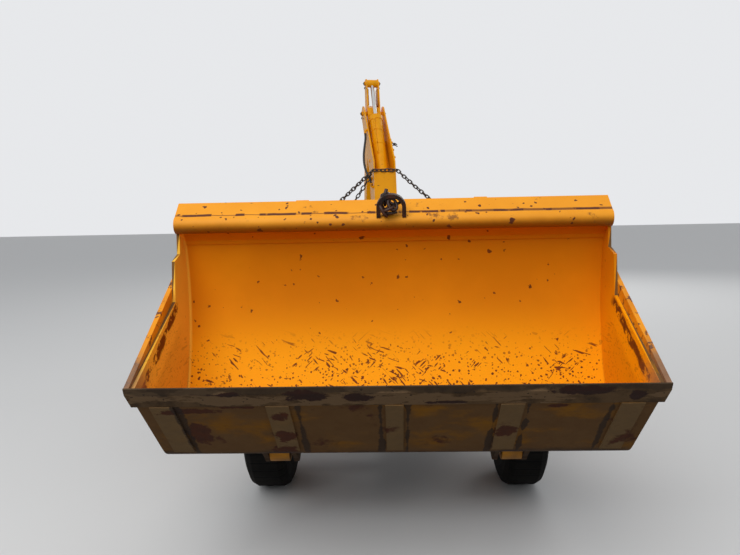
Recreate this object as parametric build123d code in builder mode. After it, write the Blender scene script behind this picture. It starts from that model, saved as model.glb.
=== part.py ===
"""Open-station backhoe loader, in millimetres.

Frame: +Z is up, the loader bucket faces -Y and +X is the machine's left hand.
The origin lies on the ground, midway between the rear wheels and under their axle.
The loader bucket is rolled back and carried clear of the ground, the backhoe is folded up for
travel and swung a little to the right, and both stabilizer legs are raised.
"""

import os
from math import atan2, cos, degrees, hypot, radians, sin

from build123d import *

os.makedirs("parts", exist_ok=True)

# Running gear
wheelbase = 2050
front_track = 1440
front_tyre_radius = 420
front_tyre_width = 236
front_rim_radius = 214
rear_track = 1500
rear_tyre_radius = 700
rear_tyre_width = 430
rear_rim_radius = 358
lug_count = 16
lug_height = 34
lug_width = 54
lug_trail = 130
kingpin_x = 590
axle_beam_height = 96
axle_tube_radius = 105

# Chassis
rail_x = 280
rail_width = 80
rail_height = 110
rail_bottom = 476
nose_y = -2430
rail_end_y = 840
tower_inner_x = 445
tower_outer_x = 595
tower_plate = 20
tower_front_y = -1030
tower_back_y = -790
cross_member_height = 60

# Engine, hood and station
hood_half_width = 330
hood_top = 1500
hood_side_bottom = 890
hood_back_y = -1180
hood_shoulder = 90
grille_low_z = 860
lamp_centre = (205, 755)
lamp_radius = 68
sheet = 6
engine_length = 800
engine_width = 430
engine_height = 660
engine_low_z = 536
floor_z = 900
floor_plate = 10
floor_half_width = 480
floor_back_y = 700
fender_clearance = 60
fender_inner_x = 498
fender_outer_x = 966
seat_y = 90

# Loader arms: points in the side view as (rearward, up)
arm_pivot = (-900, 1300)
arm_elbow = (-2560, 1290)
arm_knee = (-2700, 900)
bucket_pin = (-2957, 521)
arm_x = 530
arm_width = 90
arm_depth = 160
arm_leg_depth = 116
arm_pin_radius = 25
lift_base_pin = (-870, 545)
lift_rod_pin = (-1950, 1105)
lift_barrel_radius = 52
lift_rod_radius = 27
tilt_base_pin = (-1800, 1400)
tilt_x = 410
tilt_barrel_radius = 45
tilt_rod_radius = 22
cross_tube = (-2762, 782)
cross_tube_radius = 45

# Loader bucket, in its own section: first along the floor from the lip, then up from the floor
bucket_rollback = 45
bucket_body_width = 1990
side_bar_thickness = 20
bucket_sheet = 12
bucket_side_plate = 14
bucket_floor_length = 500
bucket_heel_radius = 150
bucket_heel_turn = 100
bucket_back_radius = 1000
bucket_back_turn = 50.6
bucket_hinge = (740, 110)
hinge_eye_radius = 60
hinge_outer_x = 576
hinge_outer_plate = 22
tilt_ear = (620, 508)
edge_width = 116
edge_plate = 16
roll_centre = (43, 886)
roll_radius = 40
spill_plate_top = 998

# Backhoe: points in its own side view as (rearward from the swing axis, up)
swing_y = 1300
swing_angle = 12
boom_foot = (240, 850)
boom_knee = (450, 2123)
boom_tip = (950, 2781)
boom_width = 250
boom_plate = 15
boom_base_pin = (370, 590)
boom_rod_pin = (395, 1700)
boom_barrel_radius = 55
boom_rod_radius = 27
dipper_tail = (1000, 3141)
dipper_end = (1250, 1350)
dipper_width = 154
dipper_plate = 14
dipper_end_radius = 48
dipper_base_pin = (430, 1990)
dipper_barrel_radius = 72
dipper_rod_radius = 22
hoe_pin_radius = 25

# Hoe bucket and its linkage; the bucket's section is (towards the teeth, towards its back)
hoe_bucket_angle = -120
hoe_bucket_width = 600
hoe_bucket_reach = 780
hoe_link_pin_radius = 222
hoe_link_pin_turn = 115
idler_height = 340
idler_length = 328
link_length = 326
curl_base_up = 1440
curl_base_out = 160
curl_barrel_radius = 42
curl_rod_radius = 20

# Stabilizers, in the cross plane as (sideways, up)
stabilizer_y = 900
stabilizer_pivot = (560, 470)
stabilizer_length = 916
stabilizer_travel = 85
stabilizer_pad_drop = 60
stabilizer_raised = 58.4
stabilizer_width = 80
stabilizer_base_pin = (300, 1150)
stabilizer_rod_reach = 300
stabilizer_barrel_radius = 40
stabilizer_rod_radius = 20

# Running fits
side_gap = 0.5
pin_gap = 0.4

# Derived places
front_axle_y = -wheelbase
rail_top = rail_bottom + rail_height
bucket_turn = radians(bucket_rollback)
swing_turn = radians(swing_angle)
bucket_width = bucket_body_width + 2 * side_bar_thickness


def side_plane(x=0.0):
    """Plane across the machine at x, whose sketch axes run rearward and up."""
    return Plane.YZ.offset(x)


def cross_plane(y=0.0):
    """Plane facing forward at y, whose sketch axes run to +X and up."""
    return Plane(origin=(0, y, 0), x_dir=(1, 0, 0), z_dir=(0, -1, 0))


def hoe_plane(offset=0.0):
    """Side plane of the backhoe, swung about the upright axis behind the machine."""
    base = Plane(
        origin=(0, swing_y, 0),
        x_dir=(-sin(swing_turn), cos(swing_turn), 0),
        z_dir=(cos(swing_turn), sin(swing_turn), 0),
    )
    return base.offset(offset)


def bucket_section_to_side(point):
    """Side-view place of a point of the loader bucket's section, which turns on its hinge."""
    along = point[0] - bucket_hinge[0]
    up = point[1] - bucket_hinge[1]
    return (
        bucket_pin[0] + along * cos(bucket_turn) + up * sin(bucket_turn),
        bucket_pin[1] - along * sin(bucket_turn) + up * cos(bucket_turn),
    )


def bucket_plane(x=0.0):
    """Plane of the loader bucket's section at x, with its origin at the lip."""
    lip = bucket_section_to_side((0, 0))
    return Plane(
        origin=(x, lip[0], lip[1]),
        x_dir=(0, cos(bucket_turn), -sin(bucket_turn)),
        z_dir=(1, 0, 0),
    )


def between(start, end, share):
    """Point at a share of the way from start to end."""
    return (start[0] + (end[0] - start[0]) * share, start[1] + (end[1] - start[1]) * share)


def beside(start, end, share, distance):
    """Point beside the line from start to end, to its left by the distance."""
    length = hypot(end[0] - start[0], end[1] - start[1])
    foot = between(start, end, share)
    return (
        foot[0] - (end[1] - start[1]) / length * distance,
        foot[1] + (end[0] - start[0]) / length * distance,
    )


def turned(centre, radius, angle):
    """Point at a radius and an angle, in degrees, about a centre."""
    return (centre[0] + radius * cos(radians(angle)), centre[1] + radius * sin(radians(angle)))


def plate(plane, outline, thickness, mode=Mode.ADD):
    """Flat plate with straight edges that grows from the plane along its normal."""
    with BuildSketch(plane) as face:
        with BuildLine():
            Polyline(*outline, close=True)
        make_face()
    extrude(face.sketch, amount=thickness, mode=mode)


def disc(plane, centre, radius, thickness, mode=Mode.ADD):
    """Round boss, pin or hole that grows from the plane along its normal."""
    with BuildSketch(plane) as face:
        with Locations(centre):
            Circle(radius)
    extrude(face.sketch, amount=thickness, mode=mode)


def block(low, high, mode=Mode.ADD):
    """Box between two corners."""
    with BuildSketch(Plane.XY.offset(low[2])) as face:
        with Locations(((low[0] + high[0]) / 2, (low[1] + high[1]) / 2)):
            Rectangle(high[0] - low[0], high[1] - low[1])
    extrude(face.sketch, amount=high[2] - low[2], mode=mode)


def bar(plane, start, end, start_depth, end_depth, thickness, mode=Mode.ADD):
    """Tapered bar with round ends between two points of a plane, growing along its normal."""
    with BuildSketch(plane) as face:
        with BuildLine():
            Polyline(
                beside(start, end, 0, start_depth / 2),
                beside(start, end, 1, end_depth / 2),
                beside(start, end, 1, -end_depth / 2),
                beside(start, end, 0, -start_depth / 2),
                close=True,
            )
        make_face()
        with Locations(start):
            Circle(start_depth / 2)
        with Locations(end):
            Circle(end_depth / 2)
    extrude(face.sketch, amount=thickness, mode=mode)


def along(plane, start, end):
    """Plane at start whose normal points from start to end within the given plane."""
    direction = plane.x_dir * (end[0] - start[0]) + plane.y_dir * (end[1] - start[1])
    return Plane(origin=plane.from_local_coords((start[0], start[1], 0)), x_dir=plane.z_dir, z_dir=direction)


def ram_barrel(middle, base, eye, radius, length, rod_radius, eye_radius, eye_width, pin_radius):
    """Hydraulic cylinder's barrel from its base eye to its gland, bored for the rod."""
    axis = along(middle, base, eye)
    disc(middle.offset(-eye_width / 2), base, eye_radius, eye_width)
    disc(axis.offset(eye_radius * 0.7), (0, 0), radius, length - eye_radius * 0.7)
    disc(axis.offset(length - radius * 0.8), (0, 0), radius + 7, radius * 0.8)
    disc(axis.offset(eye_radius + 25), (0, 0), rod_radius + pin_gap, length, mode=Mode.SUBTRACT)
    disc(middle.offset(-eye_width / 2), base, pin_radius + pin_gap, eye_width, mode=Mode.SUBTRACT)


def ram_rod(middle, base, eye, radius, length, eye_radius, eye_width):
    """Cylinder's rod with its eye, whose pin is modelled whole with it between the lug's plates."""
    axis = along(middle, eye, base)
    disc(middle.offset(-eye_width / 2), eye, eye_radius, eye_width)
    disc(axis, (0, 0), radius, length)


def wheel_plane(x, y, z):
    """Plane through a wheel's axle, whose sketch axes run along the axle and outward."""
    return Plane(origin=(x, y, z), x_dir=(1, 0, 0), z_dir=(0, -1, 0))


def turn_profile(x, y, z, outline, mode=Mode.ADD):
    """Ring turned about a wheel's axle from an outline of (along the axle, radius)."""
    with BuildSketch(wheel_plane(x, y, z)) as face:
        with BuildLine():
            Polyline(*outline, close=True)
        make_face()
    revolve(face.sketch, axis=Axis((x, y, z), (1, 0, 0)), mode=mode)


def save(piece, name):
    """Label a finished piece and write it."""
    piece.label = name
    export_step(piece, "parts/" + name + ".step")


# Chassis rails, cross members and nose plate with its tow clevis
with BuildPart() as chassis_frame:
    for side in (-1, 1):
        low_x = side * rail_x - rail_width / 2
        block((low_x, nose_y, rail_bottom), (low_x + rail_width, rail_end_y, rail_top))
    block((-rail_x, -1760, rail_bottom), (rail_x, -1680, engine_low_z))
    block((-rail_x, 500, rail_bottom), (rail_x, 580, rail_top))
    block((-345, nose_y - 30, rail_bottom - 30), (345, nose_y, rail_top + 50))
    for low_z in (rail_bottom + 10, rail_bottom + 70):
        block((-60, nose_y - 100, low_z), (60, nose_y - 30, low_z + 20))
    disc(Plane.XY.offset(rail_bottom), (0, nose_y - 68), 16, 120, mode=Mode.SUBTRACT)
    for low_y in (front_axle_y - 120, front_axle_y + 80):
        block((-150, low_y, 372), (150, low_y + 40, rail_bottom))
        block((-rail_x, low_y, rail_bottom), (rail_x, low_y + 40, rail_bottom + 40))
    disc(cross_plane(front_axle_y + 120), (0, front_tyre_radius), 26, 240)
save(chassis_frame.part, "chassis_frame")

# Loader towers, joined by a cross member under the rails, with the pins of arms and lift cylinders
tower_base_z = rail_bottom - cross_member_height
tower_outline = [
    (tower_front_y, tower_base_z),
    (tower_back_y, tower_base_z),
    (tower_back_y, 1180),
    (arm_pivot[0] + 75, arm_pivot[1] + 60),
    (arm_pivot[0] + 30, arm_pivot[1] + 85),
    (arm_pivot[0] - 40, arm_pivot[1] + 85),
    (arm_pivot[0] - 85, arm_pivot[1] + 40),
    (tower_front_y + 20, 900),
]
tower_width = tower_outer_x + tower_plate - tower_inner_x
with BuildPart() as loader_towers:
    block(
        (-tower_outer_x - tower_plate, tower_front_y, tower_base_z),
        (tower_outer_x + tower_plate, tower_back_y, rail_bottom),
    )
    for side in (-1, 1):
        for near_x in (tower_inner_x, tower_outer_x):
            low_x = near_x if side > 0 else -near_x - tower_plate
            plate(side_plane(low_x), tower_outline, tower_plate)
        low_x = tower_inner_x if side > 0 else -tower_outer_x - tower_plate
        block((low_x, tower_back_y - 12, tower_base_z), (low_x + tower_width, tower_back_y, 1120))
        for pin in (arm_pivot, lift_base_pin):
            disc(side_plane(low_x - 8), pin, arm_pin_radius, tower_width + 16)
save(loader_towers.part, "loader_towers")

# Front axle beam, hung on its centre pin, with forked ends for the kingpins
with BuildPart() as front_axle:
    beam_outline = [
        (-kingpin_x + 50, front_tyre_radius - 34),
        (-160, front_tyre_radius - axle_beam_height / 2),
        (160, front_tyre_radius - axle_beam_height / 2),
        (kingpin_x - 50, front_tyre_radius - 34),
        (kingpin_x - 50, front_tyre_radius + 34),
        (160, front_tyre_radius + axle_beam_height / 2),
        (-160, front_tyre_radius + axle_beam_height / 2),
        (-kingpin_x + 50, front_tyre_radius + 34),
    ]
    plate(cross_plane(front_axle_y + 55), beam_outline, 110)
    disc(cross_plane(front_axle_y + 79.5), (0, front_tyre_radius), 46, 159)
    disc(cross_plane(front_axle_y + 80), (0, front_tyre_radius), 26 + pin_gap, 160, mode=Mode.SUBTRACT)
    for side in (-1, 1):
        disc(Plane.XY.offset(front_tyre_radius - 60), (side * kingpin_x, front_axle_y), 42, 120)
        block(
            (min(side * (kingpin_x - 60), side * kingpin_x), front_axle_y - 40, front_tyre_radius - 34),
            (max(side * (kingpin_x - 60), side * kingpin_x), front_axle_y + 40, front_tyre_radius + 34),
        )
        disc(
            Plane.XY.offset(front_tyre_radius - 70),
            (side * kingpin_x, front_axle_y),
            20 + pin_gap,
            140,
            mode=Mode.SUBTRACT,
        )
save(front_axle.part, "front_axle")

# Steering knuckles: kingpin, cheeks above and below the axle's eye, spindle and steering arm
knuckle_arm_back = 150
knuckle_arm_in = 40
for side, name in ((1, "left"), (-1, "right")):
    with BuildPart() as knuckle:
        centre = (side * kingpin_x, front_axle_y)
        disc(Plane.XY.offset(front_tyre_radius - 90), centre, 20, 180)
        for low_z in (front_tyre_radius - 90, front_tyre_radius + 60 + side_gap):
            disc(Plane.XY.offset(low_z), centre, 40, 30 - side_gap)
            block(
                (min(centre[0], centre[0] + side * 62), front_axle_y - 36, low_z),
                (max(centre[0], centre[0] + side * 62), front_axle_y + 36, low_z + 30 - side_gap),
            )
        block(
            (min(centre[0] + side * 44, centre[0] + side * 66), front_axle_y - 36, front_tyre_radius - 90),
            (max(centre[0] + side * 44, centre[0] + side * 66), front_axle_y + 36, front_tyre_radius + 90),
        )
        disc(side_plane(centre[0] + side * 105 - 55), (front_axle_y, front_tyre_radius), 30, 110)
        bar(
            Plane.XY.offset(front_tyre_radius - 90),
            centre,
            (centre[0] - side * knuckle_arm_in, front_axle_y + knuckle_arm_back),
            60,
            44,
            24,
        )
        disc(
            Plane.XY.offset(front_tyre_radius - 110),
            (centre[0] - side * knuckle_arm_in, front_axle_y + knuckle_arm_back),
            12,
            30,
        )
    save(knuckle.part, "steering_knuckle_" + name)

# Tie rod across, its ball ends under the knuckle arms
tie_rod_z = front_tyre_radius - 110
tie_rod_half = kingpin_x - knuckle_arm_in
with BuildPart() as tie_rod:
    tie_rod_y = front_axle_y + knuckle_arm_back
    disc(side_plane(-tie_rod_half), (tie_rod_y, tie_rod_z - 17), 15, 2 * tie_rod_half)
    for side in (-1, 1):
        disc(Plane.XY.offset(tie_rod_z - 34), (side * tie_rod_half, tie_rod_y), 26, 33.5)
save(tie_rod.part, "tie_rod")

# Front wheels: tyre on a dished rim
front_half = front_tyre_width / 2
front_bead = 0.69 * front_half
front_tyre_outline = [
    (-front_bead, front_rim_radius),
    (-front_bead, front_rim_radius + 22),
    (-0.88 * front_half, front_rim_radius + 45),
    (-front_half, front_rim_radius + 100),
    (-0.97 * front_half, front_tyre_radius - 48),
    (-0.84 * front_half, front_tyre_radius - 16),
    (-0.6 * front_half, front_tyre_radius),
    (0.6 * front_half, front_tyre_radius),
    (0.84 * front_half, front_tyre_radius - 16),
    (0.97 * front_half, front_tyre_radius - 48),
    (front_half, front_rim_radius + 100),
    (0.88 * front_half, front_rim_radius + 45),
    (front_bead, front_rim_radius + 22),
    (front_bead, front_rim_radius),
]
rear_half = rear_tyre_width / 2
rear_bead = 0.76 * rear_half
rear_tyre_outline = [
    (-rear_bead, rear_rim_radius),
    (-rear_bead, rear_rim_radius + 22),
    (-0.92 * rear_half, rear_rim_radius + 70),
    (-rear_half, rear_rim_radius + 160),
    (-0.95 * rear_half, rear_tyre_radius - 75),
    (-0.8 * rear_half, rear_tyre_radius - 18),
    (-0.55 * rear_half, rear_tyre_radius),
    (0.55 * rear_half, rear_tyre_radius),
    (0.8 * rear_half, rear_tyre_radius - 18),
    (0.95 * rear_half, rear_tyre_radius - 75),
    (rear_half, rear_rim_radius + 160),
    (0.92 * rear_half, rear_rim_radius + 70),
    (rear_bead, rear_rim_radius + 22),
    (rear_bead, rear_rim_radius),
]
rear_carcass_outline = [
    (-rear_bead, rear_rim_radius),
    (-rear_bead, rear_rim_radius + 22),
    (-0.92 * rear_half, rear_rim_radius + 70),
    (-rear_half, rear_rim_radius + 160),
    (-0.93 * rear_half, rear_tyre_radius - 95),
    (-0.74 * rear_half, rear_tyre_radius - lug_height - 12),
    (0.74 * rear_half, rear_tyre_radius - lug_height - 12),
    (0.93 * rear_half, rear_tyre_radius - 95),
    (rear_half, rear_rim_radius + 160),
    (0.92 * rear_half, rear_rim_radius + 70),
    (rear_bead, rear_rim_radius + 22),
    (rear_bead, rear_rim_radius),
]

# Rear tread: slanted lugs in two rows half a step apart, cut to the tyre's outer shape
with BuildPart() as rear_lugs:
    for step in range(lug_count):
        for row, shift in ((-1, 0), (1, 0.5)):
            turn = radians((step + shift) * 360 / lug_count)
            outward = (0, cos(turn), sin(turn))
            foot_radius = rear_tyre_radius - 140
            lug_plane = Plane(
                origin=(rear_track / 2, foot_radius * outward[1], rear_tyre_radius + foot_radius * outward[2]),
                x_dir=(1, 0, 0),
                z_dir=outward,
            )
            inner = -row * 8
            outer = row * 0.985 * rear_half
            plate(
                lug_plane,
                [
                    (inner, lug_width / 2),
                    (outer, lug_width / 2 - lug_trail),
                    (outer, -lug_width / 2 - lug_trail),
                    (inner, -lug_width / 2),
                ],
                150,
            )
    with BuildPart(mode=Mode.INTERSECT):
        turn_profile(rear_track / 2, 0, rear_tyre_radius, rear_tyre_outline)


def rim_outline(bead, radius, side, dish, hub_radius, hub_from, hub_to):
    """Rim barrel with its two flanges, a dished disc and the hub, as one turned section."""
    return [
        (-side * (bead + 10), radius - 16),
        (-side * (bead + 10), radius + 20),
        (-side * bead, radius + 20),
        (-side * bead, radius),
        (side * bead, radius),
        (side * bead, radius + 20),
        (side * (bead + 10), radius + 20),
        (side * (bead + 10), radius - 16),
        (side * (dish + 14), radius - 16),
        (side * (hub_to - 30), hub_radius + 40),
        (side * (hub_to - 30), hub_radius),
        (side * hub_to, hub_radius - 12),
        (side * hub_to, 0),
        (side * hub_from, 0),
        (side * hub_from, hub_radius),
        (side * (hub_to - 46), hub_radius),
        (side * (hub_to - 46), hub_radius + 40),
        (side * (dish - 6), radius - 16),
    ]


for side, name in ((1, "left"), (-1, "right")):
    wheel_x = side * front_track / 2
    with BuildPart() as front_tyre:
        turn_profile(wheel_x, front_axle_y, front_tyre_radius, front_tyre_outline)
    save(front_tyre.part, "front_tyre_" + name)
    with BuildPart() as front_rim:
        outline = rim_outline(front_bead, front_rim_radius, side, 10, 70, -45, 70)
        turn_profile(wheel_x, front_axle_y, front_tyre_radius, outline)
        spindle = side_plane(wheel_x + (side - 1) * 55 - side * 60)
        disc(spindle, (front_axle_y, front_tyre_radius), 30 + pin_gap, 110, mode=Mode.SUBTRACT)
    save(front_rim.part, "front_rim_" + name)

    wheel_x = side * rear_track / 2
    with BuildPart() as rear_tyre:
        turn_profile(wheel_x, 0, rear_tyre_radius, rear_carcass_outline)
        add(rear_lugs.part if side > 0 else mirror(rear_lugs.part, about=Plane.YZ, mode=Mode.PRIVATE))
    save(rear_tyre.part, "rear_tyre_" + name)
    with BuildPart() as rear_rim:
        outline = rim_outline(rear_bead, rear_rim_radius, side, -60, 120, -150, 30)
        turn_profile(wheel_x, 0, rear_tyre_radius, outline)
    save(rear_rim.part, "rear_rim_" + name)

# Transmission, differential and axle tubes as one casting line
with BuildPart() as rear_axle:
    block((-200, -1400, rail_bottom + 30), (200, -260, 870))
    block((-235, -260, rail_top + 4), (235, 250, 880))
    hub_face = rear_track / 2 - 150 - side_gap
    disc(side_plane(-hub_face), (0, rear_tyre_radius), axle_tube_radius, 2 * hub_face)
    for side in (-1, 1):
        disc(
            side_plane(side * (hub_face - 30) + (side - 1) * 15),
            (0, rear_tyre_radius),
            axle_tube_radius + 35,
            30,
        )
        for mount_y in (-200, 190):
            low_x = side * 190 - 35
            block((low_x, mount_y - 35, 860), (low_x + 70, mount_y + 35, floor_z))
save(rear_axle.part, "rear_axle")

# Engine as one plain block, with its sump, filter, generator and fan
engine_back_y = -1410
engine_front_y = engine_back_y - engine_length
with BuildPart() as engine:
    block(
        (-engine_width / 2, engine_front_y, engine_low_z),
        (engine_width / 2, engine_back_y, engine_low_z + engine_height),
    )
    block((-150, engine_back_y - 255, engine_low_z - 90), (150, engine_back_y - 40, engine_low_z))
    disc(Plane.XY.offset(640), (-engine_width / 2 - 44, -1620), 48, 190)
    disc(cross_plane(engine_front_y + 200), (-engine_width / 2 - 38, 960), 60, 170)
    block(
        (-engine_width / 2 - 62, engine_front_y + 60, 935),
        (-engine_width / 2, engine_front_y + 150, 985),
    )
    disc(cross_plane(engine_front_y), (0, 960), 70, 18)
    for blade in range(6):
        bar(cross_plane(engine_front_y - 18), turned((0, 960), 50, blade * 60), turned((0, 960), 190, blade * 60), 60, 84, 8)
save(engine.part, "engine")

# Hood: sheet-metal top and sides, rounded at the shoulders, open below and at both ends
with BuildPart() as hood:
    with BuildSketch(cross_plane(nose_y + 40)) as hood_face:
        with BuildLine():
            FilletPolyline(
                (-hood_half_width, hood_side_bottom), (-hood_half_width, hood_top),
                (hood_half_width, hood_top), (hood_half_width, hood_side_bottom),
                radius=hood_shoulder,
            )
            Line((hood_half_width, hood_side_bottom), (hood_half_width - sheet, hood_side_bottom))
            FilletPolyline(
                (hood_half_width - sheet, hood_side_bottom), (hood_half_width - sheet, hood_top - sheet),
                (sheet - hood_half_width, hood_top - sheet), (sheet - hood_half_width, hood_side_bottom),
                radius=hood_shoulder - sheet,
            )
            Line((sheet - hood_half_width, hood_side_bottom), (-hood_half_width, hood_side_bottom))
        make_face()
    extrude(amount=-(hood_back_y - nose_y - 40))
save(hood.part, "hood")

# Radiator behind the grille
with BuildPart() as radiator:
    block((-290, nose_y + 90, rail_top), (290, nose_y + 170, 1400))
save(radiator.part, "radiator")

# Grille shell with upright bars and two lamps under them
with BuildPart() as grille:
    block((-hood_half_width, nose_y, rail_top + 50), (hood_half_width, nose_y + 39.7, hood_top - 20))
    block((-270, nose_y, grille_low_z), (270, nose_y + 40, 1400), mode=Mode.SUBTRACT)
    for step in range(10):
        bar_x = -243 + step * 54
        block((bar_x - 7, nose_y + 8, grille_low_z), (bar_x + 7, nose_y + 24, 1400))
    for side in (-1, 1):
        centre = (side * lamp_centre[0], lamp_centre[1])
        disc(cross_plane(nose_y), centre, lamp_radius, 24)
        disc(cross_plane(nose_y - 14), centre, lamp_radius - 9, 10, mode=Mode.SUBTRACT)
save(grille.part, "grille")

# Station floor, fenders over the rear wheels and their inner walls
fender_radius = rear_tyre_radius + fender_clearance
with BuildPart() as platform:
    block((-430, -1150, floor_z), (430, tower_back_y, floor_z + floor_plate))
    block(
        (-floor_half_width, tower_back_y, floor_z),
        (floor_half_width, floor_back_y, floor_z + floor_plate),
    )
    for side in (-1, 1):
        low_x = fender_inner_x if side > 0 else -fender_outer_x
        with BuildSketch(side_plane(low_x)) as arch:
            with Locations((0, rear_tyre_radius)):
                Circle(fender_radius + sheet)
                Circle(fender_radius, mode=Mode.SUBTRACT)
            with Locations((0, rear_tyre_radius - 1000 + 320)):
                Rectangle(3000, 2000, mode=Mode.SUBTRACT)
        extrude(arch.sketch, amount=fender_outer_x - fender_inner_x)
        wall_x = fender_inner_x - sheet if side > 0 else -fender_inner_x
        with BuildSketch(side_plane(wall_x)) as wall:
            with Locations((0, rear_tyre_radius)):
                Circle(fender_radius + sheet)
            with Locations((0, floor_z - 2000)):
                Rectangle(3000, 4000, mode=Mode.SUBTRACT)
        extrude(wall.sketch, amount=sheet)
        block(
            (min(side * floor_half_width, side * fender_inner_x), -600, floor_z),
            (max(side * floor_half_width, side * fender_inner_x), 600, floor_z + floor_plate),
        )
save(platform.part, "platform")

# Dash console with its steering column
column_foot = (-1100, 1250)
wheel_centre = (-800, 1500)
wheel_hub_depth = 22
with BuildPart() as console:
    block((-240, -1172, floor_z + floor_plate), (240, -1060, 1440))
    column_axis = along(side_plane(0), column_foot, wheel_centre)
    column_length = hypot(wheel_centre[0] - column_foot[0], wheel_centre[1] - column_foot[1])
    disc(column_axis, (0, 0), 27, column_length - wheel_hub_depth - 0.3)
save(console.part, "console")

with BuildPart() as steering_wheel:
    column_axis = along(side_plane(0), column_foot, wheel_centre)
    centre_3d = side_plane(0).from_local_coords((wheel_centre[0], wheel_centre[1], 0))
    rim_plane = Plane(origin=centre_3d, x_dir=(1, 0, 0), z_dir=column_axis.z_dir)
    with BuildSketch(Plane(origin=centre_3d, x_dir=(1, 0, 0), z_dir=rim_plane.y_dir)) as rim_section:
        with Locations((190, 0)):
            Circle(14)
    revolve(rim_section.sketch, axis=Axis(centre_3d, rim_plane.z_dir))
    disc(rim_plane.offset(-wheel_hub_depth), (0, 0), 34, 40)
    for angle in (90, 210, 330):
        end = turned((0, 0), 188, angle)
        bar(rim_plane.offset(-6), (0, 0), end, 26, 18, 10)
save(steering_wheel.part, "steering_wheel")

# Swivelling operator's seat on its pedestal
seat_base_top = 1130
with BuildPart() as seat_pedestal:
    disc(Plane.XY.offset(floor_z + floor_plate), (0, seat_y), 130, seat_base_top - floor_z - floor_plate)
save(seat_pedestal.part, "seat_pedestal")

with BuildPart() as seat:
    block((-230, seat_y - 225, seat_base_top + 30), (230, seat_y + 215, seat_base_top + 125))
    fillet(seat.edges(), radius=38)
    with BuildPart() as seat_back:
        block((-220, seat_y + 150, seat_base_top + 60), (220, seat_y + 235, seat_base_top + 470))
        fillet(seat_back.edges(), radius=34)
    block((-170, seat_y - 170, seat_base_top + 0.3), (170, seat_y + 190, seat_base_top + 60))
save(seat.part, "seat")

# Control stand for the backhoe, behind the seat
with BuildPart() as hoe_controls:
    block((-200, floor_back_y - 180, floor_z + floor_plate), (200, floor_back_y - 60, 1300))
    for lever in range(6):
        lever_x = -150 + lever * 60
        disc(Plane.XY.offset(1300), (lever_x, floor_back_y - 130), 8, 180)
        disc(Plane.XY.offset(1470), (lever_x, floor_back_y - 130), 18, 36)
save(hoe_controls.part, "hoe_controls")

# Tanks hung on the rails beside the engine's clutch housing
with BuildPart() as side_tanks:
    for side in (-1, 1):
        inner = side * (rail_x + rail_width / 2 + 0.3)
        outer = side * 436
        block((min(inner, outer), -1480, rail_bottom + 20), (max(inner, outer), -1060, 840))
save(side_tanks.part, "side_tanks")

# Exhaust silencer low beside the engine, on its two manifold ports
silencer = (engine_width / 2 + 62, 800)
with BuildPart() as exhaust:
    disc(cross_plane(-1560), silencer, 50, 560)
    disc(cross_plane(-1300), silencer, 24, 300)
    for port_y in (-2000, -1760):
        block(
            (engine_width / 2, port_y - 30, silencer[1] - 30),
            (silencer[0], port_y + 30, silencer[1] + 30),
        )
save(exhaust.part, "exhaust")

# Loader arms: two boxed beams with a cross tube
arm_low = arm_x - arm_width / 2
with BuildPart() as loader_arms:
    for side in (-1, 1):
        plane = side_plane(arm_low if side > 0 else -arm_low - arm_width)
        bar(plane, arm_pivot, arm_elbow, arm_depth, arm_depth, arm_width)
        bar(plane, arm_elbow, arm_knee, arm_depth, arm_leg_depth, arm_width)
        bar(plane, arm_knee, bucket_pin, arm_leg_depth, arm_leg_depth, arm_width)
        for low_x in (arm_low, arm_low + arm_width - 16):
            lug_plane = side_plane(low_x if side > 0 else -low_x - 16)
            bar(lug_plane, lift_rod_pin, (lift_rod_pin[0], lift_rod_pin[1] + 150), 100, 180, 16)
        outer_head = side_plane(side * (arm_low + arm_width + 10) + (-side - 1) * 13)
        inner_head = side_plane(side * (arm_low - 10) + (side - 1) * 13)
        for head in (outer_head, inner_head):
            disc(head, lift_rod_pin, arm_pin_radius, 26)
        disc(side_plane(side * (tilt_x - 46) + (side - 1) * 60), tilt_base_pin, 20, 120)
        bar(plane, tilt_base_pin, (tilt_base_pin[0] - 30, tilt_base_pin[1] - 100), 90, 200, arm_width)
        disc(side_plane(side * 456 + (side - 1) * 16), tilt_base_pin, 40, 32)
        disc(side_plane(side * (tilt_x - 49) + (side - 1) * 4), tilt_base_pin, 29, 8)
        for pin in (arm_pivot, bucket_pin):
            disc(plane, pin, arm_pin_radius + pin_gap, arm_width, mode=Mode.SUBTRACT)
    disc(side_plane(-arm_low - 20), cross_tube, cross_tube_radius, 2 * arm_low + 40)
save(loader_arms.part, "loader_arms")

# Lift cylinders, a pair under the arms
lift_length = hypot(lift_rod_pin[0] - lift_base_pin[0], lift_rod_pin[1] - lift_base_pin[1])
lift_barrel_length = 980
with BuildPart() as lift_barrels:
    for side in (-1, 1):
        ram_barrel(
            side_plane(side * arm_x), lift_base_pin, lift_rod_pin, lift_barrel_radius,
            lift_barrel_length, lift_rod_radius, 55, 110, arm_pin_radius,
        )
save(lift_barrels.part, "lift_barrels")
with BuildPart() as lift_rods:
    for side in (-1, 1):
        ram_rod(side_plane(side * arm_x), lift_base_pin, lift_rod_pin, lift_rod_radius, 900, 45, 57)
save(lift_rods.part, "lift_rods")

# Tilt cylinders, a pair beside the hood
tilt_rod_pin = bucket_section_to_side(tilt_ear)
tilt_barrel_length = 880
with BuildPart() as tilt_barrels:
    for side in (-1, 1):
        ram_barrel(
            side_plane(side * tilt_x), tilt_base_pin, tilt_rod_pin, tilt_barrel_radius,
            tilt_barrel_length, tilt_rod_radius, 44, 80, 20,
        )
save(tilt_barrels.part, "tilt_barrels")
with BuildPart() as tilt_rods:
    for side in (-1, 1):
        ram_rod(side_plane(side * tilt_x), tilt_base_pin, tilt_rod_pin, tilt_rod_radius, 790, 42, 79)
save(tilt_rods.part, "tilt_rods")

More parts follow.
